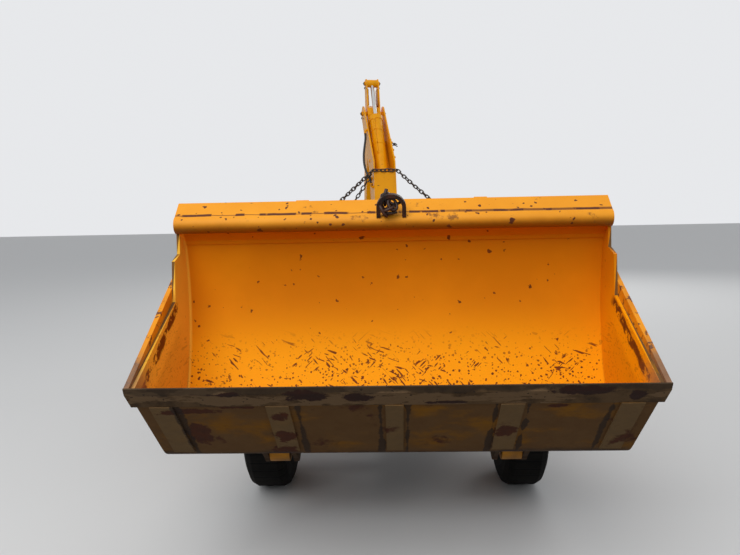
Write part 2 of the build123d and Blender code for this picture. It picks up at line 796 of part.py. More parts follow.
# Loader bucket: rolled sheet, side plates, top roll and spill plate, hinge plates and tilt ears
bucket_half = bucket_body_width / 2


def bucket_curve(thickness):
    """Floor, heel and back of the bucket's section, offset outward by a thickness."""
    floor = Line((edge_width, -thickness), (bucket_floor_length, -thickness))
    heel = JernArc(floor @ 1, floor % 1, bucket_heel_radius + thickness, bucket_heel_turn)
    back = JernArc(heel @ 1, heel % 1, bucket_back_radius + thickness, bucket_back_turn)
    return back @ 1


with BuildPart() as loader_bucket:
    with BuildSketch(bucket_plane(-bucket_half)) as outer:
        with BuildLine():
            top = bucket_curve(bucket_sheet)
            Polyline(
                (top.X, top.Y), (43, 915), (70, 862), (135, 790), (99, 713), (216, 572), (20, 0),
                (edge_width, 0), (edge_width, -bucket_sheet),
            )
        make_face()
    extrude(outer.sketch, amount=bucket_body_width)
    hinge_outline = [
        (540, 26), (725, 52), (797, 92), (795, 150), (740, 260), (640, 323), (600, 400),
    ]
    ear_outline = [
        (560, 300), (650, 340), (640, 440), (664, 505), (650, 545), (610, 553), (480, 620), (420, 560),
    ]
    for side in (-1, 1):
        for near_x, thick in ((tower_inner_x, 20), (hinge_outer_x, hinge_outer_plate)):
            low_x = near_x if side > 0 else -near_x - thick
            plate(bucket_plane(low_x), hinge_outline, thick)
            disc(bucket_plane(low_x), bucket_hinge, hinge_eye_radius, thick)
        for near_x in (tilt_x - 62, tilt_x + 40.5):
            low_x = near_x if side > 0 else -near_x - 21.5
            plate(bucket_plane(low_x), ear_outline, 21.5)
            outward = 0 if (near_x > tilt_x) == (side > 0) else -6
            disc(bucket_plane(low_x + outward), tilt_ear, 20, 27.5)
        hinge_outside = hinge_outer_x + hinge_outer_plate
        low_x = tower_inner_x if side > 0 else -hinge_outside
        disc(bucket_plane(low_x - 8), bucket_hinge, arm_pin_radius, hinge_outside - tower_inner_x + 16)
    with BuildSketch(bucket_plane(-bucket_half + bucket_side_plate)) as cavity:
        with BuildLine():
            floor_line = Line((-60, 0), (bucket_floor_length, 0))
            heel_arc = JernArc(floor_line @ 1, floor_line % 1, bucket_heel_radius, bucket_heel_turn)
            back_arc = JernArc(heel_arc @ 1, heel_arc % 1, bucket_back_radius, bucket_back_turn)
            Polyline(back_arc @ 1, (-60, (back_arc @ 1).Y), (-60, 0))
        make_face()
    extrude(cavity.sketch, amount=bucket_body_width - 2 * bucket_side_plate, mode=Mode.SUBTRACT)
    plate(
        bucket_plane(-bucket_half),
        [(154, 866), (166, 878), (43, 926), (43, 914)],
        bucket_body_width,
    )
    disc(bucket_plane(-bucket_half), roll_centre, roll_radius, bucket_body_width)
    plate(
        bucket_plane(-bucket_half),
        [(6, 884), (18, 884), (22, spill_plate_top), (12, spill_plate_top)],
        bucket_body_width,
    )
    for strip_x, strip_width in ((-900, 90), (-450, 90), (0, 70), (450, 90), (900, 90)):
        plate(
            bucket_plane(strip_x - strip_width / 2),
            [(edge_width, -bucket_sheet), (500, -bucket_sheet), (500, -20), (edge_width, -20)],
            strip_width,
        )
    for side in (-1, 1):
        plate(
            bucket_plane(side * 414 - 30),
            [(16, 904), (30, 904), (34, spill_plate_top + 14), (20, spill_plate_top + 14)],
            60,
        )
save(loader_bucket.part, "loader_bucket")

# Cutting edge and the two side bars
with BuildPart() as cutting_edge:
    plate(
        bucket_plane(-bucket_width / 2),
        [(0, 0), (0, -5), (26, -edge_plate), (edge_width, -edge_plate), (edge_width, 0)],
        bucket_width,
    )
    for side in (-1, 1):
        low_x = bucket_half if side > 0 else -bucket_width / 2
        plate(
            bucket_plane(low_x),
            [(4, 0), (209, 746), (252, 640), (108, 0)],
            side_bar_thickness,
        )
save(cutting_edge.part, "cutting_edge")

# Lifting eye: a bent bar welded to the spill plate
eye_span = 116
eye_rise = 96
eye_bar = 18
eye_lean = 25
eye_foot = bucket_section_to_side((-2, 880))
eye_up = (-sin(radians(eye_lean)), cos(radians(eye_lean)))
with BuildPart() as lifting_eye:
    eye_plane = Plane(
        origin=(0, eye_foot[0], eye_foot[1]),
        x_dir=(1, 0, 0),
        z_dir=(0, -eye_up[1], eye_up[0]),
    )
    with BuildSketch(eye_plane.offset(-eye_bar / 2)) as arch_face:
        with Locations((0, eye_rise - eye_span / 2)):
            Circle(eye_span / 2 + eye_bar / 2)
            Circle(eye_span / 2 - eye_bar / 2, mode=Mode.SUBTRACT)
        with Locations((0, eye_rise - eye_span / 2 - 100)):
            Rectangle(2 * eye_span, 200, mode=Mode.SUBTRACT)
        for side in (-1, 1):
            with Locations((side * eye_span / 2, (eye_rise - eye_span / 2 - 8) / 2)):
                Rectangle(eye_bar, eye_rise - eye_span / 2 + 8)
    extrude(arch_face.sketch, amount=eye_bar)
    add(loader_bucket.part, mode=Mode.SUBTRACT)
save(lifting_eye.part, "lifting_eye")

# Backhoe frame: cross box and uprights for the stabilizer cylinders
with BuildPart() as hoe_frame:
    for low_y in (840, 942):
        block((-640, low_y, 400), (640, low_y + 18, 640))
    block((-stabilizer_pivot[0] + 110, 858, 400), (stabilizer_pivot[0] - 110, 942, 420))
    for side in (-1, 1):
        for low_y in (840, 942):
            block((side * 300 - 60, low_y, 640), (side * 300 + 60, low_y + 18, 1200))
        block((side * 250 - 10, 858, 420), (side * 250 + 10, 942, 1060))
        disc(cross_plane(968), (side * stabilizer_pivot[0], stabilizer_pivot[1]), 25, 136)
        disc(cross_plane(968), (side * stabilizer_base_pin[0], stabilizer_base_pin[1]), 20, 136)
    block((-300, 840, 900), (300, 858, 1200))
    block((-300, 942, 400), (300, 960, 1200))
save(hoe_frame.part, "hoe_frame")

# Swing bracket: a back plate bolted to the frame and two arms around the swing pin
with BuildPart() as swing_bracket:
    block((-200, 960.3, 400), (200, 984, 1000))
    for low_z in (400, 960):
        with BuildSketch(Plane.XY.offset(low_z)) as bracket:
            with BuildLine():
                Polyline((-190, 970), (190, 970), (90, swing_y), (-90, swing_y), close=True)
            make_face()
            with Locations((0, swing_y)):
                Circle(90)
        extrude(bracket.sketch, amount=40)
    disc(Plane.XY.offset(395), (0, swing_y), 40, 610)
save(swing_bracket.part, "swing_bracket")

# Swing post between the brackets, with cheeks for the boom foot and the boom cylinder
cheek_in = boom_width / 2 + side_gap
cheek_thick = 24
with BuildPart() as swing_post:
    disc(Plane.XY.offset(441), (0, swing_y), 80, 518)
    cheek_outline = [(-20, 470), (420, 530), (420, 640), (330, 860), (300, 940), (180, 940), (-20, 900)]
    for low in (cheek_in, -cheek_in - cheek_thick):
        plate(hoe_plane(low), cheek_outline, cheek_thick)
    for low_z in (480, 860):
        plate(
            hoe_plane(-cheek_in - cheek_thick),
            [(-20, low_z), (110, low_z), (110, low_z + 40), (-20, low_z + 40)],
            2 * (cheek_in + cheek_thick),
        )
    for pin in (boom_foot, boom_base_pin):
        disc(hoe_plane(-cheek_in - cheek_thick - 10), pin, hoe_pin_radius, 2 * (cheek_in + cheek_thick + 10))
    disc(Plane.XY.offset(430), (0, swing_y), 40 + pin_gap, 540, mode=Mode.SUBTRACT)
save(swing_post.part, "swing_post")

# Boom: two gooseneck side plates, a front plate below the knee and a back plate above it
boom_outline = [
    beside(boom_foot, boom_knee, 0, 95),
    (321.5, 2178.6),
    beside(boom_knee, boom_tip, 1, 85),
    beside(boom_knee, boom_tip, 1, -85),
    (574, 2069),
    beside(boom_foot, boom_knee, 0, -95),
]
with BuildPart() as boom:
    for low in (-boom_width / 2, boom_width / 2 - boom_plate):
        with BuildSketch(hoe_plane(low)) as cheek:
            with BuildLine():
                Polyline(*boom_outline, close=True)
            make_face()
            with Locations(boom_foot):
                Circle(95)
            with Locations(boom_tip):
                Circle(85)
        extrude(cheek.sketch, amount=boom_plate)
    front_low = between(boom_outline[0], boom_outline[1], 0.08)
    front_high = between(boom_outline[0], boom_outline[1], 0.91)
    plate(
        hoe_plane(-boom_width / 2),
        [
            front_low,
            front_high,
            beside(front_low, front_high, 1, -14),
            beside(front_low, front_high, 0, -14),
        ],
        boom_width,
    )
    back_high = between(boom_outline[4], boom_outline[3], 0.55)
    plate(
        hoe_plane(-boom_width / 2),
        [boom_outline[4], back_high, beside(boom_outline[4], back_high, 1, 14), (562, 2080)],
        boom_width,
    )
    back_low = between(boom_outline[5], boom_outline[4], 0.82)
    plate(
        hoe_plane(-boom_width / 2),
        [back_low, boom_outline[4], (562, 2080), beside(back_low, boom_outline[4], 0, 14)],
        boom_width,
    )
    disc(hoe_plane(-boom_width / 2 - 8), dipper_base_pin, hoe_pin_radius, boom_width + 16)
    for low in (-boom_width / 2 - 8, boom_width / 2 - 75):
        disc(hoe_plane(low), boom_rod_pin, 45 if low < 0 else 45, 83)
    disc(hoe_plane(-boom_width / 2), boom_foot, hoe_pin_radius + pin_gap, boom_width, mode=Mode.SUBTRACT)
    disc(hoe_plane(-boom_width / 2 - 16), boom_tip, hoe_pin_radius, boom_width + 32)
save(boom.part, "boom")

# Chain laid across the boom's front and down to both raised stabilizer legs
chain_radius = 11
chain_z = 2072
chain_share = (chain_z - boom_outline[0][1]) / (boom_outline[1][1] - boom_outline[0][1])
chain_centre = beside(boom_outline[0], boom_outline[1], chain_share, chain_radius + side_gap)
chain_half = boom_width / 2 + chain_radius + side_gap


def straight_run(start, end, radius):
    """Round bar between two points of the machine."""
    way = Vector(*end) - Vector(*start)
    with BuildSketch(Plane(origin=start, z_dir=way)) as section:
        Circle(radius)
    extrude(section.sketch, amount=way.length)


with BuildPart() as tie_chain:
    disc(hoe_plane(-chain_half), chain_centre, chain_radius, 2 * chain_half)
    for side in (-1, 1):
        start = hoe_plane().from_local_coords((chain_centre[0], chain_centre[1], side * chain_half))
        leg_angle = stabilizer_raised if side > 0 else 180 - stabilizer_raised
        leg_tip = turned((side * stabilizer_pivot[0], stabilizer_pivot[1]), stabilizer_length, leg_angle)
        hook_y = stabilizer_y + stabilizer_width / 2 + chain_radius + side_gap
        straight_run(tuple(start), (leg_tip[0], hook_y, leg_tip[1]), chain_radius)
        with Locations(start):
            Sphere(chain_radius)
        disc(
            cross_plane(hook_y + chain_radius),
            (leg_tip[0], leg_tip[1] - 10),
            34,
            2 * chain_radius,
        )
save(tie_chain.part, "tie_chain")

# Boom cylinder inside the boom
with BuildPart() as boom_barrel:
    ram_barrel(
        hoe_plane(), boom_base_pin, boom_rod_pin, boom_barrel_radius, 620, boom_rod_radius,
        48, 200, hoe_pin_radius,
    )
save(boom_barrel.part, "boom_barrel")
with BuildPart() as boom_rod:
    ram_rod(hoe_plane(), boom_base_pin, boom_rod_pin, boom_rod_radius, 560, 45, 99)
save(boom_rod.part, "boom_rod")

# Dipper: tail plates above the boom's tip pin, tapered box below it
dipper_half = dipper_width / 2
dipper_outline = [
    beside(dipper_end, boom_tip, 0, dipper_end_radius),
    beside(dipper_end, boom_tip, 0.75, 100),
    beside(dipper_end, boom_tip, 1, 82),
    (dipper_tail[0] - 52, dipper_tail[1] + 10),
    (dipper_tail[0] - 20, dipper_tail[1] + 50),
    (dipper_tail[0] + 30, dipper_tail[1] + 46),
    (dipper_tail[0] + 52, dipper_tail[1] - 5),
    beside(dipper_end, boom_tip, 1.03, -100),
    beside(dipper_end, boom_tip, 0.75, -110),
    beside(dipper_end, boom_tip, 0, -dipper_end_radius),
]


def dipper_point(up, out):
    """Point of the backhoe's side view, up the dipper from its end and out on its rear side."""
    length = hypot(boom_tip[0] - dipper_end[0], boom_tip[1] - dipper_end[1])
    return beside(dipper_end, boom_tip, up / length, -out)


curl_base_pin = dipper_point(curl_base_up, curl_base_out)
idler_pin = dipper_point(idler_height, 0)
with BuildPart() as dipper:
    with BuildSketch(hoe_plane(-dipper_half)) as web:
        with BuildLine():
            Polyline(*dipper_outline, close=True)
        make_face()
        with Locations(dipper_end):
            Circle(dipper_end_radius)
    extrude(web.sketch, amount=dipper_width)
    tail_slot = [
        beside(dipper_end, boom_tip, 1.045, 160),
        (dipper_tail[0] - 90, dipper_tail[1] + 90),
        (dipper_tail[0] + 90, dipper_tail[1] + 90),
        beside(dipper_end, boom_tip, 1.06, -160),
    ]
    slot_half = dipper_half - dipper_plate
    plate(hoe_plane(-slot_half), tail_slot, 2 * slot_half, mode=Mode.SUBTRACT)
    for low in (slot_half, -dipper_half - 14):
        disc(hoe_plane(low), dipper_tail, hoe_pin_radius, 28)
    for low in (-62, 46):
        bar(hoe_plane(low), curl_base_pin, between(curl_base_pin, boom_tip, 0.6), 84, 150, 16)
    disc(hoe_plane(-70), curl_base_pin, 20, 140)
    disc(hoe_plane(-dipper_half - 30), idler_pin, 20, dipper_width + 60)
    pin_bore = hoe_pin_radius + pin_gap
    disc(hoe_plane(-dipper_half), boom_tip, pin_bore, dipper_width, mode=Mode.SUBTRACT)
    disc(hoe_plane(-dipper_half), dipper_end, pin_bore, dipper_width, mode=Mode.SUBTRACT)
save(dipper.part, "dipper")

# Dipper cylinder in the boom's open upper channel
with BuildPart() as dipper_barrel:
    ram_barrel(
        hoe_plane(), dipper_base_pin, dipper_tail, dipper_barrel_radius, 814, dipper_rod_radius,
        60, 219, hoe_pin_radius,
    )
save(dipper_barrel.part, "dipper_barrel")
with BuildPart() as dipper_rod:
    ram_rod(hoe_plane(), dipper_base_pin, dipper_tail, dipper_rod_radius, 600, 45, 2 * slot_half - 1)
save(dipper_rod.part, "dipper_rod")

# Hoe bucket: curved shell with side plates, ears and teeth
hoe_turn = radians(hoe_bucket_angle)
toward_teeth = (cos(hoe_turn), sin(hoe_turn))


def hoe_bucket_point(toward, out):
    """Side-view place of a point of the hoe bucket's section, about its pin on the dipper."""
    return (
        dipper_end[0] + toward * toward_teeth[0] - out * toward_teeth[1],
        dipper_end[1] + toward * toward_teeth[1] + out * toward_teeth[0],
    )


def hoe_bucket_plane(offset=0.0):
    """Plane of the hoe bucket's section, with its origin at the dipper's end pin."""
    base = hoe_plane(offset)
    direction = base.x_dir * toward_teeth[0] + base.y_dir * toward_teeth[1]
    return Plane(
        origin=base.from_local_coords((dipper_end[0], dipper_end[1], 0)),
        x_dir=direction,
        z_dir=base.z_dir,
    )


hoe_half = hoe_bucket_width / 2
link_pin_local = turned((0, 0), hoe_link_pin_radius, hoe_link_pin_turn)
with BuildPart() as hoe_bucket:
    with BuildSketch(hoe_bucket_plane(-hoe_half)) as shell_face:
        with BuildLine():
            Line((95, 60), (15, 260))
            ThreePointArc((15, 260), (72, 378), (200, 390))
            Polyline((200, 390), (700, 20), (690, -10), (95, 60))
        make_face()
    extrude(shell_face.sketch, amount=hoe_bucket_width)
    with BuildSketch(hoe_bucket_plane(-hoe_half + 14)) as hollow:
        with BuildLine():
            Line((108, 50), (28, 258))
            ThreePointArc((28, 258), (80, 365), (196, 376))
            Polyline((196, 376), (690, 10), (690, -60), (110, -20), (108, 50))
        make_face()
    extrude(hollow.sketch, amount=hoe_bucket_width - 28, mode=Mode.SUBTRACT)
    for low in (dipper_half + side_gap, -dipper_half - side_gap - 22):
        plate(
            hoe_bucket_plane(low),
            [(-40, -50), (60, -50), (110, 40), (97, 65), (24, 248), (-60, 254), (-114, 240), (-128, 190)],
            22,
        )
        disc(hoe_bucket_plane(low if low > 0 else low - 6), link_pin_local, 22, 28)
    disc(
        hoe_bucket_plane(-dipper_half - side_gap - 30),
        (0, 0),
        hoe_pin_radius,
        dipper_width + 2 * side_gap + 60,
    )
    for tooth in range(5):
        tooth_x = -hoe_half + 20 + tooth * (hoe_bucket_width - 100) / 4
        plate(
            hoe_bucket_plane(tooth_x),
            [(640, 34), (660, -12), (hoe_bucket_reach, -6), (700, 34)],
            60,
        )
save(hoe_bucket.part, "hoe_bucket")

# Idler and link that turn the hoe bucket
link_pin = hoe_bucket_point(*link_pin_local)
span = hypot(link_pin[0] - idler_pin[0], link_pin[1] - idler_pin[1])
foot_share = (idler_length**2 - link_length**2 + span**2) / (2 * span)
joint_offset = (idler_length**2 - foot_share**2) ** 0.5
idler_tip = beside(idler_pin, link_pin, foot_share / span, joint_offset)
idler_in = dipper_half + side_gap
with BuildPart() as bucket_idler:
    for low in (idler_in, -idler_in - 18):
        bar(hoe_plane(low), idler_pin, idler_tip, 90, 80, 18)
        disc(hoe_plane(low), idler_pin, 20 + pin_gap, 18, mode=Mode.SUBTRACT)
    for low in (42, -idler_in - 24):
        disc(hoe_plane(low), idler_tip, 20, idler_in + 24 - 42)
save(bucket_idler.part, "bucket_idler")
with BuildPart() as bucket_link:
    for low in (43, -61):
        bar(hoe_plane(low), idler_tip, link_pin, 58, 56, 18)
        disc(hoe_plane(low), idler_tip, 20 + pin_gap, 18, mode=Mode.SUBTRACT)
    disc(hoe_plane(-dipper_half), link_pin, 34, dipper_width)
save(bucket_link.part, "bucket_link")

curl_length = hypot(idler_tip[0] - curl_base_pin[0], idler_tip[1] - curl_base_pin[1])
with BuildPart() as curl_barrel:
    ram_barrel(
        hoe_plane(), curl_base_pin, idler_tip, curl_barrel_radius, 880, curl_rod_radius, 40, 90, 20,
    )
save(curl_barrel.part, "curl_barrel")
with BuildPart() as curl_rod:
    ram_rod(hoe_plane(), curl_base_pin, idler_tip, curl_rod_radius, 700, 38, 82)
save(curl_rod.part, "curl_rod")

# Stabilizer legs with pads, raised, and their cylinders
for side, name in ((1, "left"), (-1, "right")):
    pivot = (side * stabilizer_pivot[0], stabilizer_pivot[1])
    leg_angle = stabilizer_raised if side > 0 else 180 - stabilizer_raised
    tip = turned(pivot, stabilizer_length, leg_angle)
    rod_pin = turned(pivot, stabilizer_rod_reach, leg_angle)
    base = (side * stabilizer_base_pin[0], stabilizer_base_pin[1])
    half = stabilizer_width / 2
    with BuildPart() as stabilizer:
        bar(cross_plane(stabilizer_y + half), pivot, tip, 110, 80, stabilizer_width)
        slot_low = between(pivot, tip, 0.2)
        slot_high = between(pivot, tip, 0.5)
        plate(
            cross_plane(stabilizer_y + half - 14),
            [
                beside(slot_low, slot_high, 0, 90),
                beside(slot_low, slot_high, 1, 90),
                beside(slot_low, slot_high, 1, -90),
                beside(slot_low, slot_high, 0, -90),
            ],
            stabilizer_width - 28,
            mode=Mode.SUBTRACT,
        )
        for low in (stabilizer_y + half + 6, stabilizer_y - half + 14):
            disc(cross_plane(low), rod_pin, 18, 20)
        pad_angle = leg_angle - side * (90 - stabilizer_travel + stabilizer_raised)
        pad_foot = turned(tip, stabilizer_pad_drop, pad_angle)
        bar(cross_plane(stabilizer_y + 20), tip, between(tip, pad_foot, 0.5), 70, 70, 40)
        pad_axis = along(cross_plane(stabilizer_y), tip, pad_foot)
        with BuildSketch(pad_axis.offset(stabilizer_pad_drop - 20)) as pad:
            Rectangle(180, 300)
        extrude(pad.sketch, amount=20)
        disc(
            cross_plane(stabilizer_y + half), pivot, 25 + pin_gap, stabilizer_width, mode=Mode.SUBTRACT
        )
    save(stabilizer.part, "stabilizer_" + name)
    with BuildPart() as stabilizer_barrel:
        ram_barrel(
            cross_plane(stabilizer_y), base, rod_pin, stabilizer_barrel_radius, 500,
            stabilizer_rod_radius, 38, 82, 20,
        )
    save(stabilizer_barrel.part, "stabilizer_barrel_" + name)
    with BuildPart() as stabilizer_rod:
        ram_rod(cross_plane(stabilizer_y), base, rod_pin, stabilizer_rod_radius, 530, 32, 51)
    save(stabilizer_rod.part, "stabilizer_rod_" + name)
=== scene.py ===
# %% [markdown]
# # A backhoe loader, dressed for its portrait
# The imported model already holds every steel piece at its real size, so this lesson only adds what
# makes steel look used: paint with rust and dirt, rubber, chrome, pipes, bolts and chain. Every
# piece is placed from the model's own boxes and pins, so it also sits right from behind and below.

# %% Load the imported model
from functools import reduce
from math import cos, hypot, pi, radians, sin
from operator import or_

import bmesh
import bpy
from mathutils import Matrix, Vector


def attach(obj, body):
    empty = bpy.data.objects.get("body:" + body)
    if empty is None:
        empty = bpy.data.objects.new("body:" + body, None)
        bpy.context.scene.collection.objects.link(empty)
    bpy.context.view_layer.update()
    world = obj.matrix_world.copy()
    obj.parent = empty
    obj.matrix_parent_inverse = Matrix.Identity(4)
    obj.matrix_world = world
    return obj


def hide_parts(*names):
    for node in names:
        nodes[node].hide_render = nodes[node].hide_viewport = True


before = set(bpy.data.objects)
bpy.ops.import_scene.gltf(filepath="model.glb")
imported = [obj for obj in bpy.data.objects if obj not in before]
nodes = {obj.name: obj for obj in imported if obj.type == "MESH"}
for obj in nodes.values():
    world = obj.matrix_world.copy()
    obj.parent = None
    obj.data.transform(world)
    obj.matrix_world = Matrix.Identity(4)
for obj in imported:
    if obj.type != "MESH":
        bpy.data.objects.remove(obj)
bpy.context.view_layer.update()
print("pieces in the model:", len(nodes))

# %% [markdown]
# ## Places that several pieces share
# The loader bucket is rolled back, so its rust and dirt follow axes that lean with it: one along
# the floor from the cutting edge, one up from the floor. The backhoe has a side view of its own,
# swung a little about the upright axis behind the machine. Both are kept here as short helpers,
# with the places of the lift and tilt cylinders beside the middle.

# %% Shared places
bucket_rollback = radians(45)
bucket_lip = Vector((0, -3.5580, 0.9665))
bucket_floor_way = Vector((0, cos(bucket_rollback), -sin(bucket_rollback)))
bucket_up_way = Vector((0, sin(bucket_rollback), cos(bucket_rollback)))
lift_x, tilt_x = 0.53, 0.41
swing_y = 1.3
swing = radians(12)
hoe_out = Vector((-sin(swing), cos(swing), 0))
hoe_side = Vector((cos(swing), sin(swing), 0))


def on_bucket(x, along_floor, above_floor):
    """Point given in the loader bucket's own section."""
    return Vector((x, 0, 0)) + bucket_lip + bucket_floor_way * along_floor + bucket_up_way * above_floor


def on_hoe(side, out, up):
    """Point given in the backhoe's side view, from its swing axis."""
    return Vector((0, swing_y, 0)) + hoe_side * side + hoe_out * out + Vector((0, 0, up))


print("bucket lip at", tuple(round(v, 3) for v in on_bucket(0, 0, 0)))

# %% [markdown]
# ## The shader building blocks
# Worn machinery is a clean colour with things laid over it. Each building block below makes one
# such thing from the piece's own coordinates: a soft cloud, small specks, or a band along one
# direction. They return fields: masks from 0 to 1, or open measures such as a distance. Fields can
# be added and multiplied like numbers, and a | b takes the larger of two masks. So every finish in
# the later cells stays a short recipe.

# %% Shader building blocks


class Field:
    """Value that varies over a piece: a mask held from 0 to 1, or an open measure."""

    def __init__(self, socket, is_open=False):
        self.socket, self.tree, self.is_open = socket, socket.id_data, is_open

    def __mul__(self, other):
        return calculated("MULTIPLY", self, other, is_open=self.is_open)

    def __truediv__(self, other):
        return calculated("DIVIDE", self, other, is_open=self.is_open)

    def __add__(self, other):
        return calculated("ADD", self, other, is_open=self.is_open)

    def __or__(self, other):
        return calculated("MAXIMUM", self, other, is_open=self.is_open)

    def __sub__(self, other):
        return calculated("SUBTRACT", self, other)

    def __rsub__(self, other):
        return calculated("SUBTRACT", other, self)

    def __abs__(self):
        return calculated("ABSOLUTE", self)


def feed(socket, value):
    """Give a socket a number, a vector, a colour or the output of another node."""
    if isinstance(value, Field):
        value = value.socket
    if isinstance(value, bpy.types.NodeSocket):
        socket.id_data.links.new(value, socket)
    elif socket.type == "RGBA":
        socket.default_value = (*value, 1.0)
    else:
        socket.default_value = value


def add_node(tree, kind, inputs, **settings):
    """Outputs of a new shader node with its settings and what goes into it."""
    node = tree.nodes.new(kind)
    for key, value in settings.items():
        setattr(node, key, value)
    for key, value in inputs.items():
        feed(node.inputs[key], value)
    return node.outputs


def calculated(operation, *values, is_open=True):
    """One arithmetic step on fields and numbers, held from 0 to 1 unless it is open."""
    tree = next(value.tree for value in values if isinstance(value, Field))
    return Field(add_node(tree, "ShaderNodeMath", dict(enumerate(values)), operation=operation,
                          use_clamp=not is_open)[0], is_open)


def new_material(name, roughness, metallic=0.0, shine=0.5):
    """Material with a plain surface shader, and the piece's own coordinates in metres."""
    material = bpy.data.materials.new(name)
    material.use_nodes = True
    shader = material.node_tree.nodes["Principled BSDF"]
    for socket, value in (("Roughness", roughness), ("Metallic", metallic), ("Specular IOR Level", shine)):
        shader.inputs[socket].default_value = value
    return material, Field(add_node(material.node_tree, "ShaderNodeTexCoord", {})["Object"])


def coated(material, colour, height=None, strength=0.0, distance=0.002, roughness=None):
    """Material with its colour, with small bumps from a height mask, and with its own roughness."""
    shader = material.node_tree.nodes["Principled BSDF"]
    feed(shader.inputs["Base Color"], colour)
    if height is not None:
        bump = add_node(material.node_tree, "ShaderNodeBump", {
            "Height": height, "Strength": strength, "Distance": distance})
        feed(shader.inputs["Normal"], bump["Normal"])
    if roughness is not None:
        feed(shader.inputs["Roughness"], roughness)
    return material


def moved(place, stretch=(1, 1, 1), turn=(0, 0, 0), shift=(0, 0, 0)):
    """Coordinates stretched, turned and shifted."""
    return Field(add_node(place.tree, "ShaderNodeMapping", {
        "Vector": place, "Scale": stretch, "Rotation": turn, "Location": shift})["Vector"])


def parts_of(place):
    """The three coordinates of a place, as open measures."""
    return [Field(part, True) for part in add_node(place.tree, "ShaderNodeSeparateXYZ", {0: place})]


def along_way(place, way, origin=(0, 0, 0)):
    """Distance in metres from an origin along a direction."""
    dot = add_node(place.tree, "ShaderNodeVectorMath", {0: place, 1: way}, operation="DOT_PRODUCT")
    return Field(dot["Value"], True) - Vector(origin).dot(Vector(way))


def along_floor(place):
    """Distance along the loader bucket's floor from its cutting edge."""
    return along_way(place, bucket_floor_way, bucket_lip)


def above_floor(place):
    """Distance up from the loader bucket's floor."""
    return along_way(place, bucket_up_way, bucket_lip)


def cloud(place, scale, detail=4.0, roughness=0.55):
    """Soft noise from 0 to 1."""
    return Field(add_node(place.tree, "ShaderNodeTexNoise", {
        "Vector": place, "Scale": scale, "Detail": detail, "Roughness": roughness})[0])


def between(value, low, high):
    """Mask that goes from 0 at low to 1 at high, softly."""
    ramp = {"Value": value, "From Min": low, "From Max": high}
    return Field(add_node(value.tree, "ShaderNodeMapRange", ramp, interpolation_type="SMOOTHSTEP",
                          clamp=True)["Result"])


def specks(place, scale, size, share):
    """Small irregular spots: a share of the cells of a cell pattern hold one."""
    tree = place.tree
    wobble = add_node(tree, "ShaderNodeTexNoise", {"Vector": place, "Scale": scale * 2.5})["Color"]
    bend = add_node(tree, "ShaderNodeVectorMath", {0: wobble, 1: (0.6 / scale,) * 3, 2: place},
                    operation="MULTIPLY_ADD")[0]
    cells = add_node(tree, "ShaderNodeTexVoronoi", {"Vector": bend, "Scale": scale})
    tone = add_node(tree, "ShaderNodeSeparateColor", {0: cells["Color"]})[0]
    radius = add_node(tree, "ShaderNodeMapRange", {
        "Value": tone, "From Min": 1.0 - share, "From Max": 1.0, "To Max": size}, clamp=True)["Result"]
    return between(Field(radius) - Field(cells["Distance"]), 0.0, 0.03)


def lay_over(mask, below, above):
    """Colour above laid over colour below where the mask is 1."""
    colours = {"Factor": mask, 6: below, 7: above}
    return Field(add_node(mask.tree, "ShaderNodeMix", colours, data_type="RGBA")[2])


def layered(colour, *layers):
    """Colour with others laid over it one after another, each given as its mask and its colour."""
    for mask, above in layers:
        colour = lay_over(mask, colour, above)
    return colour


print("shader blocks ready")

# %% [markdown]
# ## Worn yellow paint
# The machine was sprayed in one yellow-orange coat. Sun has faded it in clouds, stones have chipped
# it to small rusty spots and dust gathers low down. The recipe takes the fresh and the faded colour,
# how many chips there are and how dirty the piece is, so the boom, the hood and the arms can share
# it at different strengths.

# %% Worn paint


def worn_paint(name, fresh, faded, chips, dirt, low, high, shine=0.35):
    """Sprayed paint with faded clouds, rusty chips and dirt that grows towards a low height."""
    material, place = new_material(name, 0.42, shine=shine)
    streaks = between(cloud(moved(place, (9, 9, 0.9)), 2.0, 5.0), 0.5, 0.8) * 0.45
    rust_tone = lay_over(cloud(place, 60.0), (0.20, 0.055, 0.015), (0.07, 0.03, 0.018))
    spots = specks(place, 16.0, 0.22, chips) | specks(place, 45.0, 0.25, chips * 0.8)
    nearness = 1.0 - between(along_way(place, (0, 0, 1)), low, high)
    grime_and_shade = between(cloud(place, 5.0, 6.0), 0.3, 0.75) * nearness * dirt
    colour = layered(
        lay_over(between(cloud(place, 2.3), 0.35, 0.7), fresh, faded),
        (streaks, tuple(0.55 * c for c in faded)), (spots, rust_tone), (grime_and_shade, (0.085, 0.062, 0.042)))
    gloss = add_node(place.tree, "ShaderNodeMapRange", {
        "Value": grime_and_shade | spots, "To Min": 0.36, "To Max": 0.75})
    return coated(material, colour, spots + cloud(place, 25.0) * 0.2, 0.25, roughness=gloss["Result"])


machine_paint = worn_paint("machine paint", (0.84, 0.33, 0.004), (0.78, 0.29, 0.008), 0.16, 0.8, 0.3, 1.5)
boom_paint = worn_paint("boom paint", (0.93, 0.40, 0.001), (0.86, 0.35, 0.002), 0.10, 0.3, 0.4, 1.2, 0.2)
low_paint = worn_paint("low paint", (0.62, 0.25, 0.008), (0.46, 0.18, 0.01), 0.35, 1.0, 0.2, 1.4)
rim_paint = worn_paint("rim paint", (0.72, 0.31, 0.012), (0.60, 0.25, 0.015), 0.3, 1.0, -0.2, 1.6)
print("paints:", machine_paint.name, boom_paint.name, low_paint.name, rim_paint.name)

# %% [markdown]
# ## Metals, rubber and plastic
# Bare steel on a digging edge is grey-brown and blotched with dark stains. Cylinder rods are hard
# chrome and stay bright because oil wipes them at every stroke. Tyre rubber is a dull dark grey that
# dust makes browner on the tread. All of them read only the piece's own coordinates.

# %% Metals, rubber and plastic


